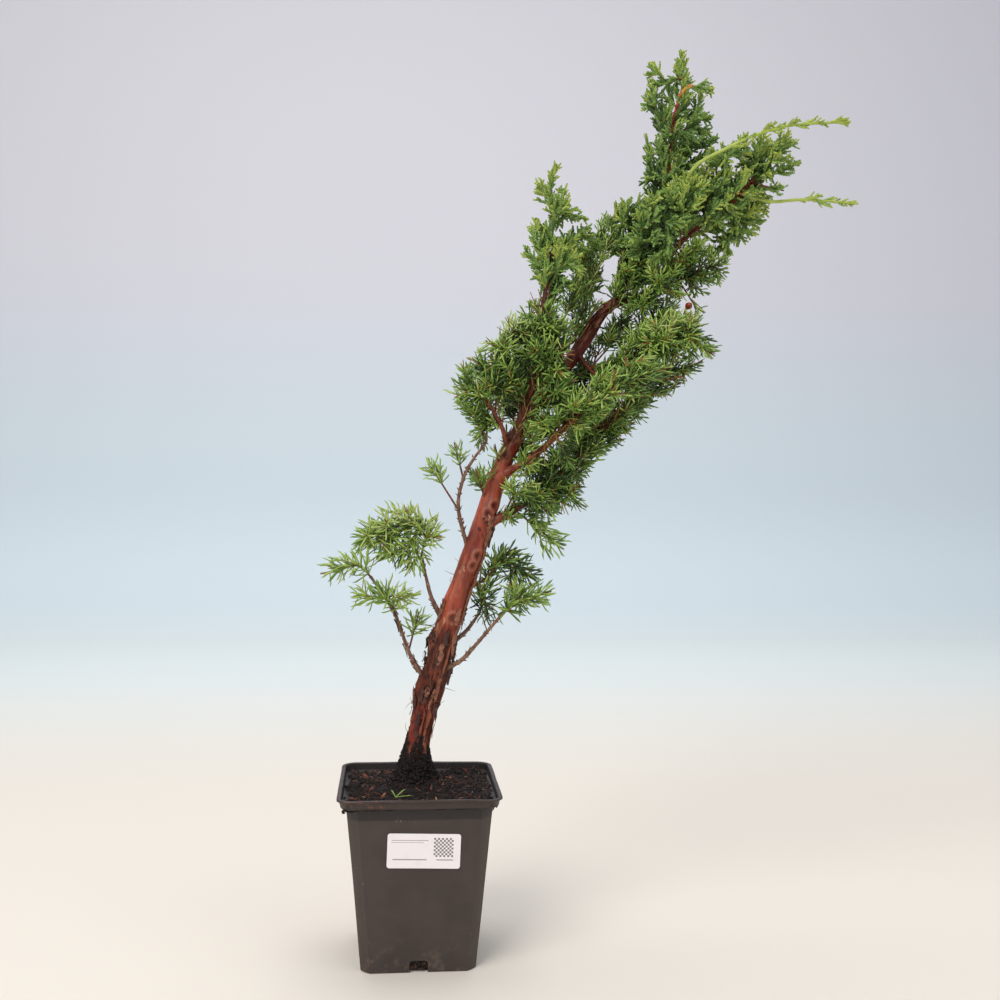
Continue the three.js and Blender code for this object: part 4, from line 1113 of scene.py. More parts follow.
def add_crumbs(shape, rng, places, sizes, stretch=(1, 0.8, 0.65), rough=0.28):
    """Adds small rough lumps, each turned its own way."""
    count = len(places)
    lump = LUMP[None] * (1 + rough * rng.normal(size=(count, len(LUMP), 1)).clip(-1.6, 1.6))
    lump = lump * np.array(stretch) * (sizes[:, None, None] / 2)
    lump = lump @ turned(rng, count) + places[:, None]
    faces = LUMP_FACES[None] + len(LUMP) * np.arange(count)[:, None, None]
    shape.add(lump.reshape(-1, 3), triangles=faces.reshape(-1, 3))


def over_soil(rng, count, margin=1.2):
    """Places scattered over the soil, at its height."""
    half = BAND_WIDTH / 2 - WALL - margin
    flat = rng.uniform(-half, half, (count, 3)) * LEVEL
    room = np.abs(flat[:, 0]) + np.abs(flat[:, 1]) < 2 * half - 2
    clear = np.linalg.norm(flat - foot_place() * LEVEL, axis=1) > 8
    flat = flat[room & clear]
    flat[:, 2] = soil_height(flat)
    return flat


def on_soil(row, above):
    """A place on the soil, a little above it."""
    place = np.array([*row, 0.0])
    place[2] = soil_height(place[None])[0] + above
    return place


def make_peat(rng):
    """Peat crumbs on the soil, and a ragged cone of them that clings to the trunk's foot."""
    peat = Shape()
    places = over_soil(rng, 4200)
    sizes = 0.6 + 2.6 * rng.random(len(places)) ** 2.4
    add_crumbs(peat, rng, places + [0, 0, 0.15] * sizes[:, None], sizes)
    trunk = limbs["trunk"]
    count = 3600
    heights = rng.random(count) ** 1.35
    turns = rng.uniform(0, 2 * math.pi, count)
    top = 25 + 8 * noise(compass(turns) * 6, 3, 77)
    steps = trunk.step_of(heights * top / trunk.length)
    sizes = 0.7 + 2.2 * (1 - 0.6 * heights) * rng.random(count) ** 1.6
    reach = trunk_reach(steps, turns) * (1.02 - 0.04 * heights)
    reach = reach + 4.2 * (1 - heights) ** 1.5 * rng.random(count)
    cling = on_tree(trunk.at(steps) + compass(turns) * reach[:, None])
    add_crumbs(peat, rng, cling, sizes)
    ledge = rng.uniform(0, 2 * math.pi, 700)
    away = 9.5 + 10 * rng.random(700) ** 1.5
    ring = foot_place() + compass(ledge) * away[:, None]
    ring[:, 2] = soil_height(ring) + 0.4
    add_crumbs(peat, rng, ring, 0.8 + 2 * rng.random(700))
    peat.piece("peat_crumbs", "soil", smooth=False, tree=False)


def make_drain_earth(rng):
    """The drains show brown earth and roots."""
    earth = Shape()
    wall, count = body_width(4) / 2, 170
    drains = rng.uniform([-5.6, 1.2 - wall, 1.6], [5.6, 2.4 - wall, 8], (count, 3))
    turns = rng.integers(0, 4, count) * math.pi / 2
    x = drains[:, 0] * np.cos(turns) - drains[:, 1] * np.sin(turns)
    y = drains[:, 0] * np.sin(turns) + drains[:, 1] * np.cos(turns)
    places = np.stack([x, y, drains[:, 2]], axis=1)
    add_crumbs(earth, rng, places, 0.9 + 1.6 * rng.random(count))
    earth.piece("drain_earth", "soil", smooth=False, tree=False)


# Splinters of bark on the soil: how many, their shape, and the larger ones that show in
# front, as [right, back, length]
CHIPS = {
    "brown_chips": (110, (4.2, 1.0, 0.45), [(-12, -18, 3), (8, -22, 2.4)]),
    "red_chips": (34, (4.6, 1.0, 0.5),
        [(-37, 22, 4.2), (-45, -26, 2.6), (29, -31, 3.2), (34, -28, 2.8), (24, 16, 2.4)]),
    "pale_chips": (9, (3.0, 1.2, 0.5),
        [(10.7, 30, 2.2), (21.5, 14, 2.2), (-24.5, -30.5, 3.4), (31, -30, 2.0)]),
}


def make_chips(rng):
    grit = Shape()
    places = over_soil(rng, 90)
    sizes = 0.35 + 0.55 * rng.random(len(places)) ** 2
    add_crumbs(grit, rng, places + [0, 0, 0.5], sizes, rough=0.2)
    grit.piece("white_grit", "soil", smooth=False, tree=False)
    for name, (count, stretch, named) in CHIPS.items():
        chips = Shape()
        places = over_soil(rng, count)
        sizes = 0.9 + 1.3 * rng.random(len(places)) ** 1.6
        add_crumbs(chips, rng, places + [0, 0, 0.6], sizes, stretch, 0.2)
        spots = np.array([on_soil(row[:2], 1.1) for row in named])
        lengths = np.array([row[2] for row in named])
        add_crumbs(chips, rng, spots, lengths, (2.6, 1.0, 0.5), 0.15)
        chips.piece(name, "soil", smooth=False, tree=False)


def make_fallen_sprig():
    """A fresh sprig of three needles has fallen near the front."""
    litter = Shape()
    spots = np.tile(on_soil((-16.0, -31.0), 1.0), (3, 1))
    heads = unit(np.array([[-0.55, 0.35, 0.75], [0.8, 0.3, 0.55], [0.98, -0.1, 0.06]]))
    lengths = np.array([6.0, 9.0, 12.0])
    add_leaves(litter, spots, heads, np.tile(UP, (3, 1)), lengths, np.full(3, 1.3))
    litter.piece("fallen_sprig", "needles", "needles_light", tree=False)


# Root fibres that stand up along the rear and beside the trunk, as [right, back, height]
STANDING_FIBRES = [
    (21, 40, 9), (-39, 38, 6), (-34, 40, 5), (13, 6, 8), (24, 36, 5), (-41, 30, 4), (15, -4, 5),
]


def make_fibres(rng):
    """Root fibres that lie bent on the soil, and a few that stand up."""
    fibres = Shape()
    places = over_soil(rng, 260)
    many = (len(places), 1)
    turns = rng.uniform(0, 2 * math.pi, len(places))[:, None]
    shares = np.linspace(-1, 1, 8)
    bends = rng.normal(size=many) * 1.4
    x = rng.uniform(1.5, 6, many) * shares
    y = bends * shares**2 + 0.7 * rng.normal(size=many) * np.sin(4 * shares)
    arch = 0.4 + rng.uniform(0, 1.4, many) * (1 - shares**2)
    across, back = x * np.cos(turns) - y * np.sin(turns), x * np.sin(turns) + y * np.cos(turns)
    paths = np.stack([across, back, arch], axis=-1) + places[:, None]
    add_tubes(fibres, paths, np.full(paths.shape[:2], 0.15), 4)
    for x, y, high in STANDING_FIBRES:
        t = np.linspace(0, 1, 9)[:, None]
        sway = np.hstack([np.sin(5 * t + x), np.cos(4 * t + y), 0 * t]) * 1.1
        path = on_soil((x, y), -0.5) + sway + np.hstack([0.12 * high * t, 0 * t, high * t])
        add_tube(fibres, path, np.linspace(0.42, 0.2, 9), 5)
    fibres.piece("root_fibres", "soil", tree=False)


def make_litter():
    """Everything that lies on the soil, clings to the trunk's foot or fills the drains."""
    rng = np.random.default_rng(LITTER_SEED)
    make_peat(rng)
    make_drain_earth(rng)
    make_chips(rng)
    make_fallen_sprig()
    make_fibres(rng)


def make_label():
    """The sticker: a thin plate on the pot's leaning front, its lower corners a little loose."""
    across = np.linspace(-0.5, 0.5, 25) * LABEL_WIDTH
    up = np.sin(np.linspace(-0.5, 0.5, 25) * math.pi) * LABEL_HEIGHT / 2
    cos, sin = math.cos(LABEL_ASKEW), math.sin(LABEL_ASKEW)
    rings = []
    for high in up:
        deep = max(LABEL_CORNER - (LABEL_HEIGHT / 2 - abs(high)), 0)
        inset = LABEL_CORNER - math.sqrt(LABEL_CORNER**2 - deep**2)
        loop = np.concatenate([across, across[::-1]]) * (1 - 2 * inset / LABEL_WIDTH)
        thick = np.repeat([LABEL_THICK, 0.0], len(across))
        x = LABEL_CENTRE[0] + loop * cos - high * sin
        z = LABEL_CENTRE[1] + loop * sin + high * cos
        loose = 0.35 * (np.abs(loop) / LABEL_WIDTH * 2) ** 6 * (0.5 - high / LABEL_HEIGHT) ** 3
        stand = 0.3 + thick + loose + 0.1 * noise(np.stack([x, z, 0 * x], axis=1), 14, 91)
        rings.append(np.stack([x, -body_width(z) / 2 - stand, z], axis=1))
    skin_piece(closed_skin(rings), "label_sticker", "label", "label_paper", smooth=False)


# Knots and lumps on the trunk: how far along it, the side they face (degrees, 270 is the
# front), how far they stand out and how wide they are
KNOTS = [
    (0.165, 250, 2.2, 7), (0.15, 40, 1.2, 8), (0.185, 140, 1.8, 7), (0.135, 200, 1.6, 5),
    (0.193, 190, 2.6, 4.6), (0.115, 188, 2.2, 4.6), (0.455, 262, 2.6, 4.4), (0.388, 303, 2.6, 4.4),
    (0.375, 280, 2.3, 4.2), (0.317, 299, 2.4, 4.4), (0.302, 291, 1.8, 3.8), (0.227, 280, 2.5, 4.4),
    (0.245, 215, 1.3, 5), (0.285, 240, 0.7, 4.6), (0.43, 330, 1.2, 5), (0.475, 235, 1.3, 4),
    (0.49, 300, 1.4, 4), (0.515, 250, 1.2, 3.6), (0.55, 180, 1.0, 3.2), (0.09, 300, 1.0, 5),
    (0.22, 20, 1.0, 5), (0.36, 80, 1.2, 4), (0.3, 130, 1.0, 4), (0.62, 260, 0.9, 3),
    (0.68, 100, 0.9, 3),
]


# Boughs that are thinner than the rest, and boughs whose bark is older and darker, which paints the
# shade that they lie in
SLENDER = ("shelf_bough", "left_tall_twig", "left_mid_bough", "right_back_bough")
DARKENED_FOR_SHADE = ("left_leader", "right_back_bough")


def knot_gap(share, facing, width, along, turns, reach):
    """How far places on the trunk are from the middle of a knot: 1 at its edge."""
    aside = np.angle(np.exp(1j * (turns - math.radians(facing)))) * reach
    return ((along - share * limbs["trunk"].length) / (width * 1.2)) ** 2 + (aside / width) ** 2


def trunk_reach(steps, turns):
    """The trunk's radius in a direction, with its spread at the soil and its knots."""
    trunk = limbs["trunk"]
    along = np.interp(steps, trunk.steps, trunk.runs)
    swelling = np.exp(-((along / trunk.length - FORK_SHARE) / 0.035) ** 2)
    reach = trunk.radius(steps) * (1 + 0.4 * swelling)
    spread = np.exp(-along / 9)
    reach = reach * (1 + spread * (0.1 + 0.14 * np.cos(5 * turns + 0.6)))
    flutes = 0.035 * np.sin(3 * turns + along / 22) + 0.02 * np.sin(5 * turns - along / 15)
    reach = reach * (1 + flutes * (1 - ease(along, 250, 420)))
    for share, facing, height, width in KNOTS:
        gap = knot_gap(share, facing, width, along, turns, reach)
        hollow = 1.1 * np.exp(-6 * gap) if width < SMALL_KNOT else 0
        reach = reach + height * (np.exp(-gap) - hollow)
    return reach


def knot_marks(along, turns, thick):
    """Where the dark hollows in the middle of the small knots are, and their pale rims."""
    pits, rims = 0 * along, 0 * along
    for share, facing, _, width in KNOTS:
        if width < SMALL_KNOT:
            gap = knot_gap(share, facing, width, along, turns, thick)
            pits = np.maximum(pits, np.exp(-6 * gap))
            rims = np.maximum(rims, np.exp(-((np.sqrt(gap) - 0.8) / 0.22) ** 2))
    return pits, rims


def bark_relief(places, turns, along, thick, age, seed):
    """Relief of bark in millimetres, and how flaky it is. Old bark lies in long smooth plates
    over each other, with deep slits where the inner bark shows."""
    ring = np.stack([np.cos(turns) * thick, np.sin(turns) * thick, along / 5], axis=1)
    sway = 1.6 * np.stack([noise(ring, 7, seed + 3), noise(ring, 7, seed + 4), 0 * along], axis=1)
    fine = noise(ring, 1.1, seed, 3)
    plates = noise(ring * [1, 1, 0.6] + sway, 5.0, seed + 11, 2)
    upper = noise(ring * [1, 1, 0.9] + sway, 4.2, seed + 29, 2)
    slits = np.abs(noise(ring * [1, 1, 0.5] + sway, 4.4, seed + 17, 2))
    flake = ease(plates, 0.05, 0.11)
    layer = ease(upper, 0.2, 0.26)
    crack = 1 - ease(slits, 0.02, 0.1)
    pits = ease(-noise(places, 1.7, seed + 23, 2), 0.3, 0.55)
    young = 0.09 * fine + 0.14 * layer - 0.2 * pits
    old = 0.16 * fine + 0.95 * flake + 0.7 * layer - 1.4 * crack * (1 - 0.6 * flake) - 0.9
    relief = young * (1 - age) + old * age
    return relief, flake * age + 0.4 * layer * (1 - age), np.clip(crack * age, 0, 1)


def level_frame(aheads):
    """Directions across lines that lean, the first as near to the right as can be."""
    across = unit(RIGHT - aheads * dot(aheads, RIGHT))
    return across, np.cross(aheads, across)


def trunk_form(steps, turns, places, along):
    """The trunk's reach to all sides, how old its bark is, and how grey."""
    age = 1 - 0.85 * ease(along, 90, 122) + 0.45 * ease(along, 300, 400)
    grey = 0.08 * ease(noise(places, 16, 71), -0.1, 0.5) * ease(along, 130, 90)
    return trunk_reach(steps, turns), age, grey


def bough_form(name, along, thick, seed):
    """A bough's reach with its collar and nodes, how old its bark is, and how grey."""
    carrier = limbs["trunk"].radius(BOUGHS[name][0])
    out = np.maximum(along - 0.8 * carrier, 0)
    collar = 0.5 * np.exp(-out / 2.4) + 0.35 * np.exp(-out / 7)
    line = np.stack([along, 0 * along, 0 * along], axis=1)
    nodes = 0.16 * noise(line + [0, 0, seed], 4, seed, 2)
    reach = thick * (1 + collar + nodes) * (0.76 if name in SLENDER else 1)
    thin = name.startswith(("low_", "left_tall"))
    # boughs in shade get older, darker bark: real old bark relief, and painted shade in its colour
    age = 0.25 + 0.3 * noise(line, 30, seed) + 0.3 * thin + 0.35 * (name in DARKENED_FOR_SHADE)
    return reach, np.clip(age, 0.05, 1), (0.85 if thin else 0.12) + 0 * along


def open_slit(places, along, turns, thick):
    """The long slit at the front of the trunk, where the deep red inner bark shows."""
    middle = math.radians(247) + 0.012 * (along - 38)
    aside = np.angle(np.exp(1j * (turns - middle))) * thick
    wide = 3.8 * np.clip(1 - ((along - 39) / 15) ** 2, 0, 1) ** 0.5 + 0.01
    return ease(wide - np.abs(aside) + 0.5 * noise(places, 3, 83), -0.2, 0.5) * (wide > 0.5)


def add_limb(shape, name, sides, pace):
    """The skin of the trunk or of a bough, with its bark modelled."""
    limb = limbs[name]
    count = int(limb.length / pace) + 1
    shares = np.linspace(0, 1, count)
    steps = limb.step_of(shares)
    path = limb.at(steps)
    aheads, across, ups = (rows[0] for rows in frames_of(path[None]))
    if name == "trunk":
        across, ups = level_frame(aheads)
    turns = np.tile(2 * math.pi * np.arange(sides) / sides, count)
    ring = np.repeat(np.arange(count), sides)
    ways = around(across[ring], ups[ring], turns)
    along = shares[ring] * limb.length
    thick = limb.radius(steps)[ring]
    seed = 40 + sum(map(ord, name))
    if name == "trunk":
        reach, age, grey = trunk_form(steps[ring], turns, path[ring], along)
    else:
        reach, age, grey = bough_form(name, along, thick, seed)
    places = path[ring] + ways * reach[:, None]
    relief, flake, crack = bark_relief(places, turns, along, thick, age, seed)
    slit = 0 * along
    if name == "trunk":
        slit = open_slit(places, along, turns, thick)
        relief = relief * (1 - slit) - 1.5 * slit
        pits, rims = knot_marks(along, turns, thick)
        crack = np.maximum(crack * (1 - slit), pits)
        flake = np.maximum(flake, 0.7 * rims)
    strength = np.clip(thick / 8, 0.06, 1) ** 1.3
    places = places + ways * (relief * strength)[:, None]
    ends = [path[0], path[-1] + aheads[-1] * limb.radius(1.0) * 0.8]
    marks = {"flake": flake, "crack": crack, "age": age, "grey": grey, "slit": slit}
    marks = {key: np.append(values, values[[0, -1]]) for key, values in marks.items()}
    shape.add(*closed_skin(places.reshape(count, sides, 3), ends), **marks)


def add_strip(shape, limb, rng, share, turn, length, width, lift, curl):
    """A peeling strip of bark: a thin curved plate that stands off at its ends and edge."""
    count = max(5, int(length / 1.6))
    along = share * limb.length + np.linspace(-0.5, 0.5, count) * length
    steps = limb.step_of(np.clip(along / limb.length, 0.001, 0.999))
    middles = limb.at(steps)
    across, ups = level_frame(unit(np.gradient(middles, axis=0)))
    ends = np.abs(np.linspace(-1, 1, count))
    wander = 0.5 * np.cumsum(rng.normal(size=count)) * 0.25
    wide = width * (1 - 0.55 * ends**2) * (1 + 0.25 * rng.normal(size=count).clip(-1, 1))
    under, over = [], []
    for side in (-1, -0.35, 0.35, 1):
        turns = turn + (wander + side * wide / 2) / limb.radius(steps)
        rise = 0.25 + lift * (ends**2.5 + curl * (side > 0) * (0.4 + 0.6 * (side == 1)))
        if limb is limbs["trunk"]:
            reach = trunk_reach(steps, turns) + rise + 0.2
        else:
            reach = limb.radius(steps) + rise
        way = around(across, ups, turns)
        under.append(middles + way * reach[:, None])
        over.append(middles + way * (reach + STRIP_THICK)[:, None])
    places, quads, triangles = closed_skin(np.stack(over + under[::-1], axis=1))
    shape.add(places, quads[:, ::-1], triangles[:, ::-1])


# The long pale strips on the front of the trunk, and the dark layers that stand off its right
# side, as [how far along, side they face in degrees, length, width]
PALE_STRIPS = [
    (0.176, 270, 15, 3.6), (0.2, 320, 24, 3.4), (0.25, 330, 30, 2.4), (0.3, 335, 26, 2.2),
    (0.225, 205, 15, 2.6), (0.13, 300, 16, 2.6), (0.11, 200, 12, 3.0), (0.35, 318, 18, 2.2),
    (0.362, 304, 12, 1.8), (0.335, 330, 20, 2.0),
]
DARK_LAYERS = [
    (0.15, 345), (0.165, 352), (0.18, 340), (0.19, 356), (0.36, 345), (0.345, 350), (0.37, 338),
]
PEELING_BOUGHS = (
    "left_leader", "spire_bough", "right_front_bough", "right_back_bough", "low_left_bough",
)
# Clusters of dark lumps on the trunk: how far along, side they face, spread and number
LUMP_CLUSTERS = [
    (0.2, 205, 2.6, 30), (0.36, 318, 3.4, 30), (0.165, 198, 2.2, 14), (0.12, 192, 2.2, 12),
]


def make_strips(rng):
    """Peeling strips of bark, pale or dark."""
    trunk, whole, draw = limbs["trunk"], 2 * math.pi, rng.uniform
    pale, dark = Shape(), Shape()
    for share, facing, length, width in PALE_STRIPS:
        add_strip(pale, trunk, rng, share, math.radians(facing), length, width, 0.8, 0.5)
    for _ in range(58):
        share = 0.05 + 0.19 * rng.random()
        shape = pale if rng.random() < 0.25 else dark
        sizes = draw(0, whole), draw(5, 16), draw(0.9, 3.4), draw(0.2, 1.3), draw(0, 0.9)
        add_strip(shape, trunk, rng, share, *sizes)
    # ragged pale bark at the fork of the long arm
    for _ in range(16):
        share, facing = draw(0.62, 0.72), math.radians(draw(190, 290))
        sizes = draw(4, 12), draw(0.7, 1.8), draw(0.6, 1.6)
        add_strip(pale, trunk, rng, share, facing, *sizes, 0.8)
    for share, facing in DARK_LAYERS:
        add_strip(dark, trunk, rng, share, math.radians(facing), 14, 3.2, 0.7, 0.8)
    for name in PEELING_BOUGHS:
        for _ in range(12):
            shape = pale if rng.random() < 0.5 else dark
            sizes = draw(0.1, 0.9), draw(0, whole), draw(4, 11), draw(0.7, 1.5)
            add_strip(shape, limbs[name], rng, *sizes, 0.5, 0.4)
    pale.piece("pale_peeling_strips", "bark", "pale_strip", smooth=False)
    dark.piece("dark_peeling_strips", "bark", "dark_strip", smooth=False)


def make_barbs(rng):
    """Old leaf bases and broken stubs that stand out along the limbs."""
    barbs = Shape()
    for name, limb in limbs.items():
        first, spacing = (0.45, 3.2) if name == "trunk" else (0.12, 1.1)
        count = int(limb.length * (1 - first) / spacing)
        shares = rng.uniform(first, 1, count)
        steps = limb.step_of(shares)
        aheads = limb.ahead(shares)
        way = unit(np.cross(aheads, rng.normal(size=(count, 3))))
        radius = limb.radius(steps)
        start = limb.at(steps) + way * (0.85 * radius)[:, None]
        if name == "trunk":
            radius = trunk_reach(steps, rng.uniform(0, 6, count))
        lengths = rng.uniform(0.9, 2.6, count) * np.clip(radius / 1.6, 0.8, 1.3)
        heads = unit(way + 0.9 * aheads) * lengths[:, None]
        paths = start[:, None] + heads[:, None] * np.array([0, 0.5, 1])[:, None]
        radii = np.array([0.55, 0.38, 0.12]) * rng.uniform(0.6, 1.15, count)[:, None]
        add_tubes(barbs, paths, radii, 5)
    barbs.piece("leaf_bases", "bark", smooth=False)


def make_threads(rng):
    """Fine fibres of bark that hang about the lower trunk."""
    trunk = limbs["trunk"]
    threads = Shape()
    for _ in range(60):
        share = rng.uniform(0.06, 0.3)
        step = trunk.step_of([share])
        turn = np.array([rng.uniform(0, 2 * math.pi)])
        way = compass(turn)[0]
        t = np.linspace(0, 1, 8)[:, None]
        ahead = unit(trunk.ahead(np.array([share]))[0] + 0.7 * rng.normal(size=3))
        start = trunk.at(step)[0] + way * (trunk_reach(step, turn)[0] + 0.2)
        path = start + ahead * t * rng.uniform(4, 11)
        path = path + way * (0.5 + 1.2 * np.sin(3 * t)) * rng.random()
        add_tube(threads, path, np.linspace(0.2, 0.1, 8), 4)
    threads.piece("bark_fibres", "bark", "pale_strip")


def make_lumps(rng):
    """Dark knobbly lumps of old bark at the node, and beside the right-hand boughs."""
    trunk = limbs["trunk"]
    lumps = Shape()
    spots = []
    for share, facing, spread, number in LUMP_CLUSTERS:
        steps = trunk.step_of(share + rng.normal(size=number) * spread / trunk.length)
        turns = math.radians(facing) + rng.normal(size=number) * spread / trunk.radius(steps)
        reach = trunk_reach(steps, turns) + 0.2
        spots.append(trunk.at(steps) + compass(turns) * reach[:, None])
    spots = np.vstack(spots)
    add_crumbs(lumps, rng, spots, rng.uniform(1.0, 3.0, len(spots)), rough=0.2)
    lumps.piece("bark_lumps", "bark", "dark_strip", smooth=False)


def make_ends():
    """A dark stub at the fork of the long arm, a red bud, and the spire's cut end."""
    stub, bud, cut = Shape(), Shape(), Shape()
    base = limbs["trunk"].at_share([0.655])[0]
    path = base + np.array([[0, 0, 0], [-3.2, -3.0, 3.2], [-5.2, -4.6, 7.2], [-5.6, -5.2, 10.4]])
    add_tube(stub, path, [1.9, 1.4, 1.2, 0.9], 9)
    stub.piece("broken_stub", "bark", "dark_strip")
    path = [[182, -4, 446], [183, -9, 449], [184, -13, 450.5], [184.5, -15, 451]]
    add_tube(bud, path, [0.6, 0.8, 2.6, 1.8], 10)
    bud.piece("red_bud", "bark")
    path = [[179, 2.4, 598.6], [181.5, -1, 601.4], [184, -2, 603.6], [186, -2.4, 604.6]]
    add_tube(cut, path, [1.9, 1.8, 1.7, 1.3], 10)
    cut.piece("cut_leader", "bark")


def make_limbs():
    wood, branches = Shape(), Shape()
    add_limb(wood, "trunk", 84, 0.95)
    wood.piece("trunk_bark", "bark", replaced=["trunk"])
    for name in BOUGHS:
        add_limb(branches, name, 22, 1.1)
    branches.piece("bough_bark", "bark", "trunk_bark", list(BOUGHS))
    rng = np.random.default_rng(BARK_SEED)
    make_strips(rng)
    make_barbs(rng)
    make_threads(rng)
    make_lumps(rng)
    make_ends()


# The greens of needles and of scales, from dark to light, each in two close shades
NEEDLE_GREENS = {
    "deep": (0x1E2C14, 0x263618), "dark": (0x3C5424, 0x465E28), "mid": (0x678838, 0x73943E),
    "light": (0x94B24E, 0xA0BA58), "fresh": (0xACBE68, 0xB8C676),
}
SCALE_GREENS = {
    "dark": (0x344C22, 0x3E562A), "mid": (0x547232, 0x5E7C3A), "light": (0x7A9848, 0x86A450),
    "yellow": (0x9AAE4C, 0xAAB650),
}
# Short leafy shoots straight from the limbs: from and to along them, how long, and their kind
SIDE_SHOOTS = [
    ("trunk", 0.5, 0.6, 19, "needles"), ("trunk", 0.71, 0.86, 17, "needles"),
    ("trunk", 0.86, 0.99, 14, "scales"), ("left_leader", 0.16, 0.66, 17, "needles"),
    ("left_leader", 0.66, 0.99, 12, "scales"), ("left_mid_bough", 0.45, 1, 14, "needles"),
    ("spire_bough", 0.1, 0.45, 15, "scales"), ("spire_bough", 0.45, 0.99, 12, "scales"),
    ("shelf_bough", 0.15, 1, 14, "needles"), ("right_front_bough", 0.5, 1, 14, "needles"),
    ("right_back_bough", 0.1, 1, 14, "needles"), ("right_front_bough", 0.05, 0.25, 12, "needles"),
    ("trunk", 0.4, 0.5, 13, "needles"),
]
# Where the sky shows through the crown, as seen from the front: middle and half its size
SKY_GAPS = [
    (131, 481, 3.4, 6.4), (123.6, 460, 3.2, 5.4), (122.5, 417.5, 5, 5), (134.5, 482, 2.6, 5),
    (137.9, 487.6, 2, 3),
    (134.9, 424.9, 2.5, 2), (89.2, 386.9, 1.3, 1.3), (92.8, 373, 1.4, 1.6), (81.8, 358.3, 1.8, 1.3),
    (74, 463, 9, 7), (190, 619, 6, 6), (258, 533, 7, 4.5), (118, 519, 6, 6), (49, 435, 6, 6),
    (145, 547, 8, 7), (145, 590, 6, 7),
]
# Stretches of limb that show between the leaves: from and to along them, and half their width
BARE_WOOD = [
    ("right_front_bough", 0.28, 0.78, 3.0), ("left_leader", 0.02, 0.32, 2.4),
    ("trunk", 0.62, 0.71, 4.6), ("right_back_bough", 0.8, 0.98, 2.0), ("trunk", 0.85, 0.88, 2.6),
    ("trunk", 0.94, 0.985, 2.0), ("left_mid_bough", 0.3, 1, 2.2),
    ("spire_bough", 0.86, 0.97, 2.2), ("spire_bough", 0.66, 0.72, 1.6),
]
# Where the camera stands, in the tree's own frame
EYE = np.array([55.6, -817.6, 325.4])


def seen_from_front(places):
    return EYE + (places - EYE) * (EYE[1] / (EYE[1] - places[:, 1:2]))


def kept_open(places):
    """True for places that would close a gap or hide bare wood, as seen from the front."""
    seen = seen_from_front(places)
    closed = np.zeros(len(places), bool)
    for x, z, wide, tall in SKY_GAPS:
        closed |= ((seen[:, 0] - x) / wide) ** 2 + ((seen[:, 2] - z) / tall) ** 2 < 1
    for name, first, last, wide in BARE_WOOD:
        line = limbs[name].at_share(np.linspace(first, last, 12))
        marks = seen_from_front(line)
        gaps = np.hypot(seen[:, 0, None] - marks[:, 0], seen[:, 2, None] - marks[:, 2])
        closed |= (gaps.min(axis=1) < wide) & (places[:, 1] < line[gaps.argmin(axis=1), 1] + 1)
    return closed


def resampled(places, count):
    """The line through places, at evenly spaced places."""
    runs = np.concatenate([[0], np.cumsum(np.linalg.norm(np.diff(places, axis=0), axis=1))])
    wanted = np.linspace(0, runs[-1], count)
    return np.stack([np.interp(wanted, runs, places[:, i]) for i in range(3)], axis=1)


def lengths_of(paths):
    return np.linalg.norm(np.diff(paths, axis=1), axis=2).sum(axis=1)


def places_along(paths, starts, spacing, ends=0.0):
    """Evenly spaced places along many lines: the line each is on, how far along, and its
    place and frame."""
    lengths = lengths_of(paths)
    counts = np.maximum(((lengths - starts - ends) / spacing).astype(int) + 1, 0)
    counts[lengths < starts + ends] = 0
    rows = np.repeat(np.arange(len(paths)), counts)
    first = np.repeat(np.cumsum(counts) - counts, counts)
    number = np.arange(len(rows)) - first
    share = np.clip((starts[rows] + number * spacing) / lengths[rows], 0, 1)
    span = share * (paths.shape[1] - 1)
    low = np.minimum(span.astype(int), paths.shape[1] - 2)
    part = (span - low)[:, None]
    aheads, across, _ = frames_of(paths)
    place = paths[rows, low] * (1 - part) + paths[rows, low + 1] * part
    ahead = unit(aheads[rows, low] * (1 - part) + aheads[rows, low + 1] * part)
    side = unit(across[rows, low] - ahead * dot(across[rows, low], ahead))
    return rows, number, share, place, ahead, side, np.cross(ahead, side)


def bent_paths(starts, heads, lengths, towards, bend, count=5):
    """Short lines that set out along heads and bend a little towards a direction."""
    t = np.linspace(0, 1, count)[None, :, None]
    run = lengths[:, None, None] * t
    return starts[:, None] + heads[:, None] * run + towards[:, None] * run * t * bend


def fit_lengths(space, starts, heads, lengths, room, shares=(1, 0.8, 0.6, 0.45, 0.3)):
    """Each twig is as long as it can be without leaving its space or meeting a limb.
    A length of 0 means that it has no room."""
    fitted = np.zeros(len(starts))
    left = np.ones(len(starts), bool)
    for share in shares:
        if not left.any():
            break
        ends = starts[left] + heads[left] * (lengths[left] * share)[:, None]
        good = space.outside(ends) < -room
        far = between(starts[left] + heads[left] * 1.2, ends, space.obstacles)
        good &= (far > 0.6).all(axis=1) if far.shape[1] else True
        index = np.flatnonzero(left)[good]
        fitted[index] = lengths[index] * share
        left[index] = False
    return fitted


class Crown:
    """The space along one limb, for shoots that spring straight from it."""

    fresh, beyond, awls = 0, USUAL_BEYOND, False

    def __init__(self, name, kind):
        limb = limbs[name]
        self.name, self.kind = name, kind
        self.centre = limb.at_share([0.7])[0]
        self.balls = np.array([[*self.centre, 14.0]])
        stretches = np.vstack([other.stretches() for other in limbs.values() if other is not limb])
        own = limb.stretches()
        near = between(own[:, :3], own[:, 3:6], stretches).min(axis=0)
        self.obstacles = stretches[near < 30]
        reach = [
            between(own[:, :3], own[:, 3:6], np.hstack([mass.links[:, :6], mass.links[:, 6:7]])).min()
            for mass in masses
        ]
        self.masses = [mass for mass, gap in zip(masses, reach) if gap < 26]

    def outside(self, places):
        return np.min([mass.outside(places) for mass in self.masses], axis=0)


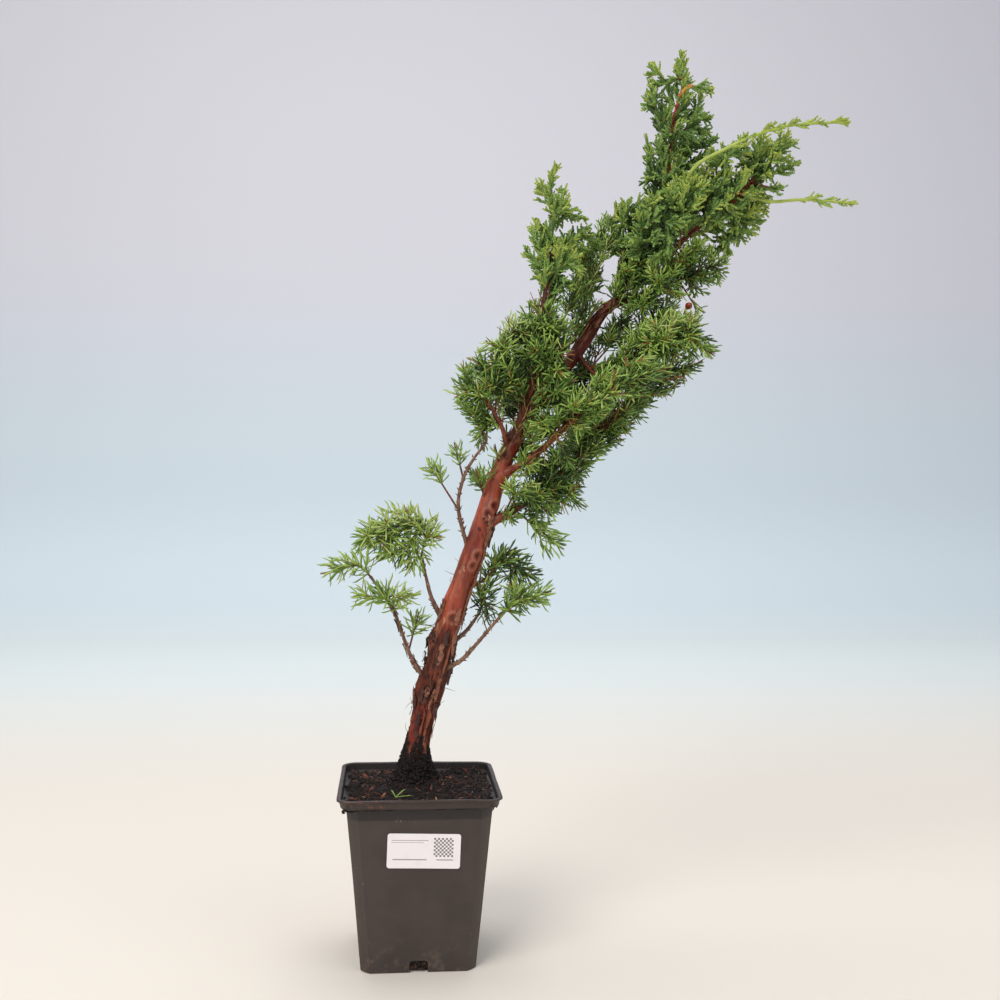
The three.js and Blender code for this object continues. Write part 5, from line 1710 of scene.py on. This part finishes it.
class Spray:
    """All the twigs of one order in one space: their lines, thickness and leafless starts."""

    def __init__(self, space, paths, radii, bare):
        self.space, self.paths, self.radii, self.bare = space, paths, radii, bare
        self.low = space.centre[2] < LOW_FOLIAGE
        self.long_shoot = space.name.startswith("long_shoot")

    def tips(self):
        """The outer part of each line, beyond its bare start."""
        paths = [resampled(path[LINE_STEPS // 4:], LINE_STEPS) for path in self.paths]
        return Spray(self.space, np.array(paths), self.radii, self.bare)


def shoots_of(plant):
    """A plant's own shoots, carried on to their tips."""
    paths, radii, bare = [], [], []
    for shoot in plant.shoots:
        places = shoot["curve"].at_share(np.linspace(0, 1, LINE_STEPS))
        tip = places[-1] + unit(places[-1] - places[-2]) * plant.kind["leaf"] * TIP_ROOM
        paths.append(resampled(np.vstack([places, tip]), LINE_STEPS))
        radii.append(shoot["core"])
        bare.append(shoot["bare"])
    return Spray(plant.mass, np.array(paths), np.array(radii), np.array(bare))


def side_shoots(name, first, last, longest, kind, rng):
    """Short shoots around a limb, each turned from the one before."""
    limb = limbs[name]
    space = Crown(name, kind)
    count = int((last - first) * limb.length / 2.6)
    shares = np.linspace(first, last, count)
    radii = limb.radius(limb.step_of(shares))
    ahead = limb.ahead(shares)
    side = unit(np.cross(ahead, [0.3, 1.0, 0.1]))
    turns = np.arange(count) * GOLDEN_TURN + 0.3 * rng.normal(size=count)
    outward = around(side, np.cross(ahead, side), turns)
    slant = np.radians(54 + 8 * rng.normal(size=count))
    heads = unit(around(ahead, outward, slant) + UP * 0.12)
    starts = limb.at_share(shares) + outward * (0.8 * radii)[:, None]
    wanted = longest * rng.uniform(0.55, 1.0, count)
    lengths = fit_lengths(space, starts, heads, wanted, -3)
    keep = lengths > SHORTEST_SIDE_SHOOT
    paths = bent_paths(starts[keep], heads[keep], lengths[keep], ahead[keep], 0.25, LINE_STEPS)
    return Spray(space, paths, np.full(keep.sum(), 0.72), 1.0 + radii[keep] * 0.3)


# Smaller twigs on shoots and sprigs: how far apart they stand, their slant in degrees, their
# shortest and longest length, and the room that they keep
TWIGS = {
    "long_shoot": (6, 30, 5.5, 10, 0),
    "scales": (2.4, 40, 4, 10.5, 0),
    "low_needles": (4.2, 46, 4.5, 13, 2),
    "needles": (3.3, 46, 4.5, 13, 2),
    "branchlets": (2.2, 38, 2.6, 5, -1.5),
}


def twigs_on(
    spray, kind, rng, ends=1.5, turn=GOLDEN_TURN, phase=1.7, stray=0.25, closing=12, rise=0.1,
    falls=0.8, shares=(1, 0.8, 0.6, 0.45, 0.3), least=2.2, offset=0.3, bend=0.22, steps=5,
    thick=0.55, bare=0.8,
):
    """Smaller twigs of one kind all along lines, each turned on from the one before. They slant
    less, and are shorter, towards the tip."""
    spacing, slant, shortest, longest, room = TWIGS[kind]
    rows, number, share, place, ahead, side, up = places_along(
        spray.paths, spray.bare, spacing, ends)
    turns = number * turn + rows * phase + stray * rng.normal(size=len(rows))
    outward = around(side, up, turns)
    slants = np.radians(slant - closing * share + 6 * rng.normal(size=len(rows)))
    heads = unit(around(ahead, outward, slants) + UP * rise)
    wanted = shortest + (longest - shortest) * (1 - share) ** falls
    wanted = wanted * (1 + 0.2 * rng.normal(size=len(rows)).clip(-1.5, 1.5))
    lengths = fit_lengths(spray.space, place, heads, wanted, room, shares)
    keep = lengths > least
    starts = place[keep] + outward[keep] * offset
    paths = bent_paths(starts, heads[keep], lengths[keep], ahead[keep], bend, steps)
    many = np.ones(len(paths))
    return Spray(spray.space, paths, thick * many, bare * many)


def sprigs_of(shoots, rng):
    """Sprigs on shoots, and on scaly kinds branchlets on those again."""
    kind = shoots.space.kind
    if shoots.long_shoot:
        kind = "long_shoot"
    elif shoots.low and kind == "needles":
        kind = "low_needles"
    sprigs = [twigs_on(shoots, kind, rng)]
    if shoots.space.kind == "scales" and len(sprigs[0].paths):
        sprigs.append(twigs_on(
            sprigs[0], "branchlets", rng, ends=0.6, turn=math.pi, phase=2.1, stray=0.5, closing=0,
            rise=0, falls=1, shares=(1, 0.7), least=1.6, offset=0, bend=0.25, steps=4, thick=0.42,
            bare=0,
        ))
    return sprigs


def greenness(spray, rng):
    """How light each twig's green is, from the mass, its depth inside it, its height, and chance:
    twigs deep in the mass get painted shade, and higher ones painted light.
    """
    space, ends = spray.space, spray.paths[:, -1]
    depth = np.clip(-space.outside(ends), -4, 14)
    height = np.clip((ends[:, 2] - space.centre[2]) / 14, -1.5, 1.5)
    # painted shade darkens the deeper twigs, and painted light lightens the higher ones
    value = 0.6 + 0.42 * space.fresh - 0.038 * depth + 0.07 * height
    return value + 0.1 * rng.normal(size=len(ends))


def by_tint(values, greens, good):
    """The name of each green, from dark to light, and the good rows whose value falls to it."""
    tints = np.clip((values * len(greens)).astype(int), 0, len(greens) - 1)
    for index, name in enumerate(greens):
        picked = np.flatnonzero(good & (tints == index))
        if len(picked):
            yield name, picked


def add_whorls(shapes, spray, values, rng):
    """Needles in whorls of three along the twigs, each whorl turned from the one before."""
    space, low = spray.space, spray.low
    spacing, long, width, opening = (4.0, 14.5, 1.45, 54) if low else (3.1, 10.2, 1.35, 47)
    if space.awls:
        long = AWL_LENGTH
    rows, number, share, place, ahead, side, up = places_along(spray.paths, spray.bare, spacing)
    tip = lengths_of(spray.paths)[rows] * (1 - share) < spacing
    for k in range(3):
        turns = rows * 1.9 + number * math.pi / 3 + k * 2 * math.pi / 3
        outward = around(side, up, turns + 0.22 * rng.normal(size=len(rows)))
        slant = np.radians(opening - 20 * share**2 + 8 * rng.normal(size=len(rows)))
        slant = np.where(tip, np.radians(18) + 0.1 * rng.random(len(rows)), slant)
        heads = unit(around(ahead, outward, slant))
        lengths = long * (0.78 + 0.22 * share) * rng.uniform(0.82, 1.12, len(rows))
        lengths = np.where(tip, lengths * 0.85, lengths)
        bases = place + outward * 0.25
        value = values[rows] + 0.1 * share + 0.03 * rng.normal(size=len(rows))
        ends = bases + heads * lengths[:, None]
        good = ~kept_open(ends) & ~kept_open(bases)
        if low:
            good &= space.outside(ends) < space.beyond
        else:
            # the outline is ragged, and small holes go through the mass
            good &= space.outside(ends) < space.beyond + 6 * noise(ends, 8, 91, 2)
            good &= noise(bases, 6.5, 97, 2) < 0.36
        for tint, picked in by_tint(value, NEEDLE_GREENS, good):
            add_leaves(shapes[tint], bases[picked], heads[picked], outward[picked],
                       lengths[picked], np.full(len(picked), width))


def add_cords(shapes, spray, values, rng, radius):
    """Scaly cords: four-sided, with scales that overlap like the teeth of a saw."""
    paths = spray.paths
    shown = ~(kept_open(paths[:, -1]) | kept_open(paths[:, len(paths[0]) // 2]))
    rings = np.clip((lengths_of(paths) / 0.9).astype(int) + 2, 3, 60)
    for count in np.unique(rings):
        span = np.linspace(0, paths.shape[1] - 1.001, count)
        low = span.astype(int)
        part = (span - low)[:, None]
        saw = np.where(np.arange(count) % 2 == 0, 1.14, 0.84)
        taper = 1 - 0.3 * np.linspace(0, 1, count) ** 4
        for tint, picked in by_tint(values, SCALE_GREENS, shown & (rings == count)):
            lines = paths[picked][:, low] * (1 - part) + paths[picked][:, low + 1] * part
            radii = radius * saw * taper * rng.uniform(0.88, 1.12, (len(picked), 1))
            add_tubes(shapes[tint], lines, radii, 4, math.pi / 4)


def add_stems(shapes, shoots, main):
    """The shoots' own wood: a mass's stem brown, and twigs orange; long shoots are scaly."""
    taper = np.linspace(1, 0.55, LINE_STEPS)
    for number, (path, core) in enumerate(zip(shoots.paths, shoots.radii)):
        if shoots.long_shoot:
            knobs = 0.12 * np.sin(np.arange(LINE_STEPS) * 2.6)
            add_tube(shapes["yellow"], path, 1.4 * taper + knobs, 6)
        elif main and number == 0:
            add_tube(shapes["brown"], path, core * taper * 0.8, 5)
        else:
            add_tube(shapes["orange"], path, core * taper * 0.6, 5)


def add_foliage(shapes, shoots, main, rng):
    """The stems, sprigs and leaves of one space."""
    scaly = shoots.space.kind == "scales"
    # one draw for each shoot keeps the leaves that follow as they are
    rng.normal(size=len(shoots.paths))
    if shoots.long_shoot:
        first = shoots.paths[:1]
        shoots = Spray(shoots.space, first, shoots.radii[:1], 0.5 * lengths_of(first))
    add_stems(shapes, shoots, main)
    for order, spray in enumerate([shoots, *sprigs_of(shoots, rng)]):
        if len(spray.paths) == 0:
            continue
        values = greenness(spray, rng)
        if not scaly:
            if order > 0:
                radii = spray.radii[:, None] * np.linspace(0.9, 0.5, 5)
                add_tubes(shapes["green"], spray.paths, radii, 4)
            add_whorls(shapes, spray, values, rng)
        elif order > 0:
            radius = SHOOT_CORD if shoots.long_shoot else SPRIG_CORD
            if order > 1:
                radius = BRANCHLET_CORD
            add_cords(shapes, spray, values + 0.1 * (order - 1), rng, radius)
        elif not shoots.long_shoot:
            add_cords(shapes, spray.tips(), values, rng, SHOOT_CORD)


def make_foliage():
    rng = np.random.default_rng(LEAF_SEED)
    needles = {tint: Shape() for tint in NEEDLE_GREENS}
    scales = {tint: Shape() for tint in SCALE_GREENS}
    twigs = {colour: Shape() for colour in ("brown", "orange", "green")}
    sources = [(shoots_of(plant), True) for plant in plants]
    sources += [(side_shoots(*row, rng), False) for row in SIDE_SHOOTS]
    for shoots, main in sources:
        if len(shoots.paths):
            leaves = scales if shoots.space.kind == "scales" else needles
            add_foliage({**twigs, **leaves}, shoots, main, rng)
    nodes = [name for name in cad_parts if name.startswith("foliage_")]
    twigs["brown"].piece("brown_twigs", "bark", "brown_twig", nodes)
    twigs["orange"].piece("young_twigs", "bark", "orange_twig", nodes)
    twigs["green"].piece("green_twigs", "needles", "green_twig", nodes)
    for kind, shapes in (("needles", needles), ("scales", scales)):
        for tint, shape in shapes.items():
            shape.pieces(f"{kind}_{tint}", kind, nodes)


def leaf_finish(name, colour, other, roughness=0.42):
    """A green of two close shades, in small patches, with a soft waxy sheen."""
    paint = Paint(name, colour, roughness, Specular_IOR_Level=0.45)
    patches = paint.grain(4, 2.0).between(0.35, 0.65)
    paint.fill("Base Color", paint.mix(patches, colour, other))
    paint.fill("Roughness", paint.grain(0.8) * 0.25 + (roughness - 0.12))
    return paint.material


def wood_finish(name, colour, dark, pale, roughness=0.75, scale=1.0):
    """Wood or bark in patches of two shades, with paler specks."""
    paint = Paint(name, colour, roughness)
    patches = paint.grain(3.5 * scale, 4.0).between(0.42, 0.62)
    body = paint.mix(patches, colour, dark)
    specks = paint.grain(1.1 * scale, 3.0).between(0.6, 0.72)
    paint.fill("Base Color", paint.mix(specks * 0.6, body, pale))
    paint.fill("Roughness", paint.grain(1.5 * scale) * 0.3 + (roughness - 0.15))
    paint.bumps(paint.grain(0.7 * scale, 4.0), 0.25, 0.7)
    return paint.material


def soil_finish(name, colour, pale, dark):
    """Dull crumbly earth, dark between its grains and with a few pale ones."""
    paint = Paint(name, colour, 0.95)
    grains = paint.grain(1.6, 5.0, rough=0.7)
    body = paint.mix(grains.between(0.4, 0.65), dark, colour)
    body = paint.mix(paint.grain(0.9, 3.0).between(0.66, 0.74), body, pale)
    paint.fill("Base Color", body)
    paint.fill("Roughness", grains * 0.2 + 0.8)
    paint.bumps(paint.grain(0.9, 5.0, rough=0.7), 0.8, 1.0)
    return paint.material


def bark_finish():
    """The trunk: smooth red-brown bark above, grey-brown peeling bark below, soil at its foot."""
    paint = Paint("trunk_bark", 0x96503E, 0.7, Specular_IOR_Level=0.3)
    age, flake, crack = paint.grown("age"), paint.grown("flake"), paint.grown("crack")
    height = paint.axis(2)
    tall = paint.stretched(1, 1, 0.3)
    broad = paint.grain(14, 3.0, tall)
    fine = paint.grain(1.6, 4.0, tall)
    young = paint.coats(
        0x702618, (broad.between(0.35, 0.65), 0xAE5038), (fine.between(0.52, 0.7) * 0.7, 0x42140B),
        (flake * 0.6, 0xB47C60),
    )
    old = paint.coats(
        0x54200F, (broad.between(0.42, 0.6), 0x7C3A24), (flake * 0.85, 0x96583E),
        (fine.between(0.48, 0.64) * 0.8, 0x27130E),
    )
    worn = paint.coats(
        0x846856, (fine.between(0.4, 0.62), 0x56402F), (broad.between(0.55, 0.7) * 0.7, 0xA68C74),
    )
    pale = paint.grain(4.2, 2.0, tall).between(0.68, 0.72) * (1 - age * 0.6)
    inner = paint.mix(fine.between(0.4, 0.6), 0x7E2C20, 0x541A12)
    soiled = (height * 1000 + (paint.grain(4, 4.0) - 0.5) * 26).between(150, 130)
    bark = paint.coats(
        young, (age.between(0.2, 0.8), old), (crack * 0.9, 0x38140E), (paint.grown("grey"), worn),
        (pale * 0.6, 0xC79A7E), (paint.grown("slit"), inner),
        # the wood is darker in the middle of the crown, painted shade from the foliage over it, and
        # more orange above it, partly its own colour and partly painted light on the upper stems
        (height.between(0.39, 0.42) * height.between(0.52, 0.48) * 0.6, 0x441610),
        (height.between(0.5, 0.53) * 0.85, 0xC05A34), (soiled, 0x241812),
    )
    paint.fill("Base Color", bark)
    paint.fill("Roughness", (age * 0.35 + 0.32 + soiled * 0.2 + fine * 0.14).smallest(1.0))
    paint.bumps(fine * 0.6 + paint.grain(0.5, 3.0) * 0.4, 0.3, 0.8)
    return paint.material


def pot_finish():
    """Dark grey-brown plastic, dusty and scuffed, with brown earth under the rim."""
    paint = Paint("pot_plastic", 0x3E3733, 0.5)
    x, y, z = (paint.axis(which) * 1000 for which in range(3))
    cloud = paint.grain(26, 4.0)
    half = z * ((BODY_TOP_WIDTH - BODY_BASE_WIDTH) / BODY_HEIGHT / 2) + BODY_BASE_WIDTH / 2
    below = z.between(BODY_HEIGHT + 0.5, BODY_HEIGHT - 0.5)
    aside = (x.size() + y.size()) / half
    # painted light: the chamfers get a warmer tint in grainy patches, for the side light that falls on
    # them
    corner = aside.between(1.83, 1.85) * below
    dust = paint.grain(7, 5.0, rough=0.65).between(0.5, 0.78)
    band = z.between(BODY_HEIGHT - 1, BODY_HEIGHT + 1)
    rub = paint.grain(4, 5.0, rough=0.7).between(0.5, 0.66)
    rub = rub * z.between(109, 112) * x.between(-8, -22)
    scuffs = paint.grain(1.3, 3.0, paint.stretched(1.6, 1.6, 0.45)).between(0.7, 0.74)
    edge = aside.between(1.8, 1.83) * (1 - corner) * below
    under = z.between(101, 109) * z.between(114, 111) * paint.grain(13, 2.0).between(0.5, 0.58)
    specks = paint.cells(2.6).between(0.2, 0.1) * paint.grain(1.6, 1.0).between(0.5, 0.6) * under
    # painted shade: the inner wall above the soil, below the rim, is painted nearly black
    inside = x.size().largest(y.size()).between(52.7, 52.3)
    inside = inside * (x.size() + y.size()).between(100, 99.6) * z.between(104, 106)
    body = paint.coats(
        0x372D28, (cloud.between(0.36, 0.64), 0x3F342F),
        (corner * (paint.grain(16, 3.0) * 0.5 + 0.25), 0x37291F),
        (dust * (z.between(30, 4) * 0.3 + 0.06), 0x8A7768), (band * 0.5, 0x35221B),
        (rub * 0.45, 0x8A4E34), (scuffs * edge, 0xC4B8AC), (specks * 0.85, 0xD8D0C4),
        (inside * 0.9, 0x1C1512),
    )
    paint.fill("Base Color", body)
    paint.fill("Roughness", cloud * 0.16 + 0.4 + dust * 0.2)
    paint.bumps(paint.grain(0.5, 3.0) * 0.5 + paint.grain(2.4, 3.0) * 0.5, 0.12, 0.6)
    return paint.material


# Ruled lines of the label, and its checker, as low, high, left and right edges from its middle
LABEL_LINES = [
    (7.0, 7.35, -21.5, 3), (5.6, 5.85, -21.5, 0), (-6.2, -5.6, -20.5, 2), (-6.2, -5.6, 8.5, 19.5),
]
CHECKER = (-3.9, 9.1, 6.5, 19.5)
CHECK_WIDTH = 2.6


def label_finish():
    """A plain white sticker with thin ruled lines and a plain regular checker in a corner."""
    paint = Paint("label_paper", 0xF1EAEA, 0.42)
    x = paint.axis(0) * 1000 - LABEL_CENTRE[0]
    z = paint.axis(2) * 1000 - LABEL_CENTRE[1]
    cos, sin = math.cos(LABEL_ASKEW), math.sin(LABEL_ASKEW)
    across = x * cos + z * sin
    up = z * cos - x * sin

    def bar(low, high, left, right, soft=0.12):
        inside = up.between(low - soft, low + soft) * up.between(high + soft, high - soft)
        inside = inside * across.between(left - soft, left + soft)
        return inside * across.between(right + soft, right - soft)

    columns = (across / CHECK_WIDTH).part().between(0.47, 0.53)
    rows = (up / CHECK_WIDTH).part().between(0.47, 0.53)
    ink = (columns - rows).size() * bar(*CHECKER, 0.05)
    for line in LABEL_LINES:
        ink = ink.largest(bar(*line))
    dirt = paint.grain(7, 5.0).between(0.55, 0.75)
    white = paint.mix(dirt * 0.25, 0xF1EAEA, 0xD9CFC6)
    paint.fill("Base Color", paint.mix(ink * 0.85, white, 0x3A3636))
    paint.fill("Roughness", dirt * 0.2 + 0.36)
    paint.bumps(paint.grain(9, 2.0), 0.12, 0.5)
    return paint.material


# Colours of the wooden pieces: the main one, a darker and a paler, then the roughness and the
# size of the grain where these aren't the usual ones
WOODS = {
    "leaf_bases": (0x7A5040, 0x4A2C20, 0x9A7C64),
    "pale_strip": (0x8E5A42, 0x6A402E, 0xAE866C),
    "dark_strip": (0x4C261A, 0x2E1710, 0x704434),
    "red_bud": (0xA44624, 0x782C16, 0xC0643A, 0.3),
    "cut_leader": (0xC8962C, 0xC06A24, 0xE0B850, 0.5),
    "brown_twig": (0x7E4A34, 0x4E2A1C, 0xA97C58, 0.75, 0.6),
    "orange_twig": (0xA8602F, 0x7A3E20, 0xC08A4C, 0.6, 0.6),
    "white_grit": (0xD8D4CC, 0xB8B0A4, 0xF0EEE8, 0.85, 0.4),
    "brown_chips": (0x4E2F20, 0x2E1A12, 0x75523A),
    "red_chips": (0x7A4430, 0x4E2818, 0xA06C4C),
    "pale_chips": (0xB07A50, 0x7E4E30, 0xCDA47C),
    "root_fibres": (0x5A3A28, 0x342016, 0x80583C),
}
# Colours of earth: the main one, that of its palest grains, and that between the grains
EARTHS = {
    "drain_earth": (0x5A3F2C, 0x8A6A4C, 0x2E1F15),
    "peat": (0x231814, 0x4A362A, 0x110B09),
    "peat_crumbs": (0x2A1D18, 0x54402F, 0x160E0B),
}


def all_finishes():
    finishes = {name: wood_finish(name, *colours) for name, colours in WOODS.items()}
    finishes |= {name: soil_finish(name, *colours) for name, colours in EARTHS.items()}
    greens = {"green_twig": (0x7C8A40, 0x94783C)}
    greens |= {f"needles_{tint}": colours for tint, colours in NEEDLE_GREENS.items()}
    greens |= {f"scales_{tint}": (*colours, 0.5) for tint, colours in SCALE_GREENS.items()}
    finishes |= {name: leaf_finish(name, *colours) for name, colours in greens.items()}
    own = {"trunk_bark": bark_finish(), "pot_plastic": pot_finish(), "label_paper": label_finish()}
    return finishes | own


# The studio, in metres: the wall behind and the bend at its foot, and the camera, which is
# turned to the side, lifted, and held a little askew as in the photo
WALL_DISTANCE = 2.4
WALL_BEND = 0.8
CAMERA_PLACE = (-0.0205, -0.8192, 0.3254)
CAMERA_LENS = 42.13
CAMERA_TURNS = [(TREE_TURN, "Z"), (89.35, "X"), (0.45, "Z")]


def add_floor():
    """A pale floor that bends up into a pale wall behind, its paper graded by height and depth as
    painted light.
    """
    profile = [(y, 0.0) for y in np.linspace(-3, WALL_DISTANCE - WALL_BEND, 12)]
    profile += [
        (WALL_DISTANCE - WALL_BEND * (1 - math.sin(turn)), WALL_BEND * (1 - math.cos(turn)))
        for turn in np.linspace(0.1, 1.57, 12)
    ]
    profile += [(WALL_DISTANCE, z) for z in (1.4, 3.0, 4.5)]
    places = [(x, y, z) for x in (-3.5, 3.5) for y, z in profile]
    count = len(profile)
    faces = [(i, i + 1, count + i + 1, count + i) for i in range(count - 1)]
    mesh = bpy.data.meshes.new("floor")
    mesh.from_pydata(places, [], faces)
    mesh.polygons.foreach_set("use_smooth", [True] * len(faces))
    paint = Paint("pale_paper", 0xE6E4E4, 0.9)
    depth, height = paint.axis(1), paint.axis(2)
    # painted light: the paper's tints are graded by height and depth to make up for how the lamps'
    # light falls off over it
    paper = paint.coats(
        0xD3DDE1, (height.between(0.35, 1.0), 0xDDDADF), (height.between(0.35, 0.08), 0xDDE8EB),
        (depth.between(1.95, 1.5) * height.between(0.3, 0.2), 0xE7EFEC),
        (depth.between(1.4, 0.35) * height.between(0.2, 0.1), 0xE6DED1),
    )
    paint.fill("Base Color", paper)
    mesh.materials.append(paint.material)
    add_object("floor", mesh)


# Soft lights: place, what they face, size, power and colour
LIGHTS = {
    "key": ((-1.1, -1.5, 1.9), (0.08, 0, 0.35), 1.4, 39.8, (1.0, 0.98, 0.95)),
    "fill": ((1.6, -1.2, 0.9), (0.08, 0, 0.3), 1.6, 8.2, (0.92, 0.95, 1.0)),
    "top": ((0.1, 0.5, 2.2), (0.1, 0, 0.4), 1.4, 13, (1, 1, 1)),
    "wall": ((0, 0.6, 2.4), (0, 2.4, 0.9), 2.0, 11, (1, 1, 1)),
}


def add_lights():
    for name, (place, target, size, power, colour) in LIGHTS.items():
        data = bpy.data.lights.new(name, "AREA")
        data.size, data.energy, data.color = size, power, colour
        light = add_object(name, data)
        light.location = place
        heading = Vector(target) - Vector(place)
        light.rotation_euler = heading.to_track_quat("-Z", "Y").to_euler()
    world = bpy.data.worlds.new("studio")
    world.use_nodes = True
    sky = world.node_tree.nodes["Background"]
    sky.inputs["Color"].default_value = (0.86, 0.9, 1.0, 1)
    sky.inputs["Strength"].default_value = 0.5
    bpy.context.scene.world = world
    bpy.context.scene.view_settings.view_transform = "Standard"


def add_camera():
    data = bpy.data.cameras.new("camera")
    data.sensor_width = 36
    data.lens = CAMERA_LENS
    data.clip_start = 0.01
    camera = add_object("camera", data)
    turns = [Matrix.Rotation(math.radians(turn), 4, axis) for turn, axis in CAMERA_TURNS]
    camera.matrix_world = Matrix.Translation(CAMERA_PLACE) @ turns[0] @ turns[1] @ turns[2]
    bpy.context.scene.camera = camera


finishes = all_finishes()
make_pot()
make_soil()
make_litter()
make_label()
make_limbs()
make_foliage()
add_floor()
add_lights()
add_camera()
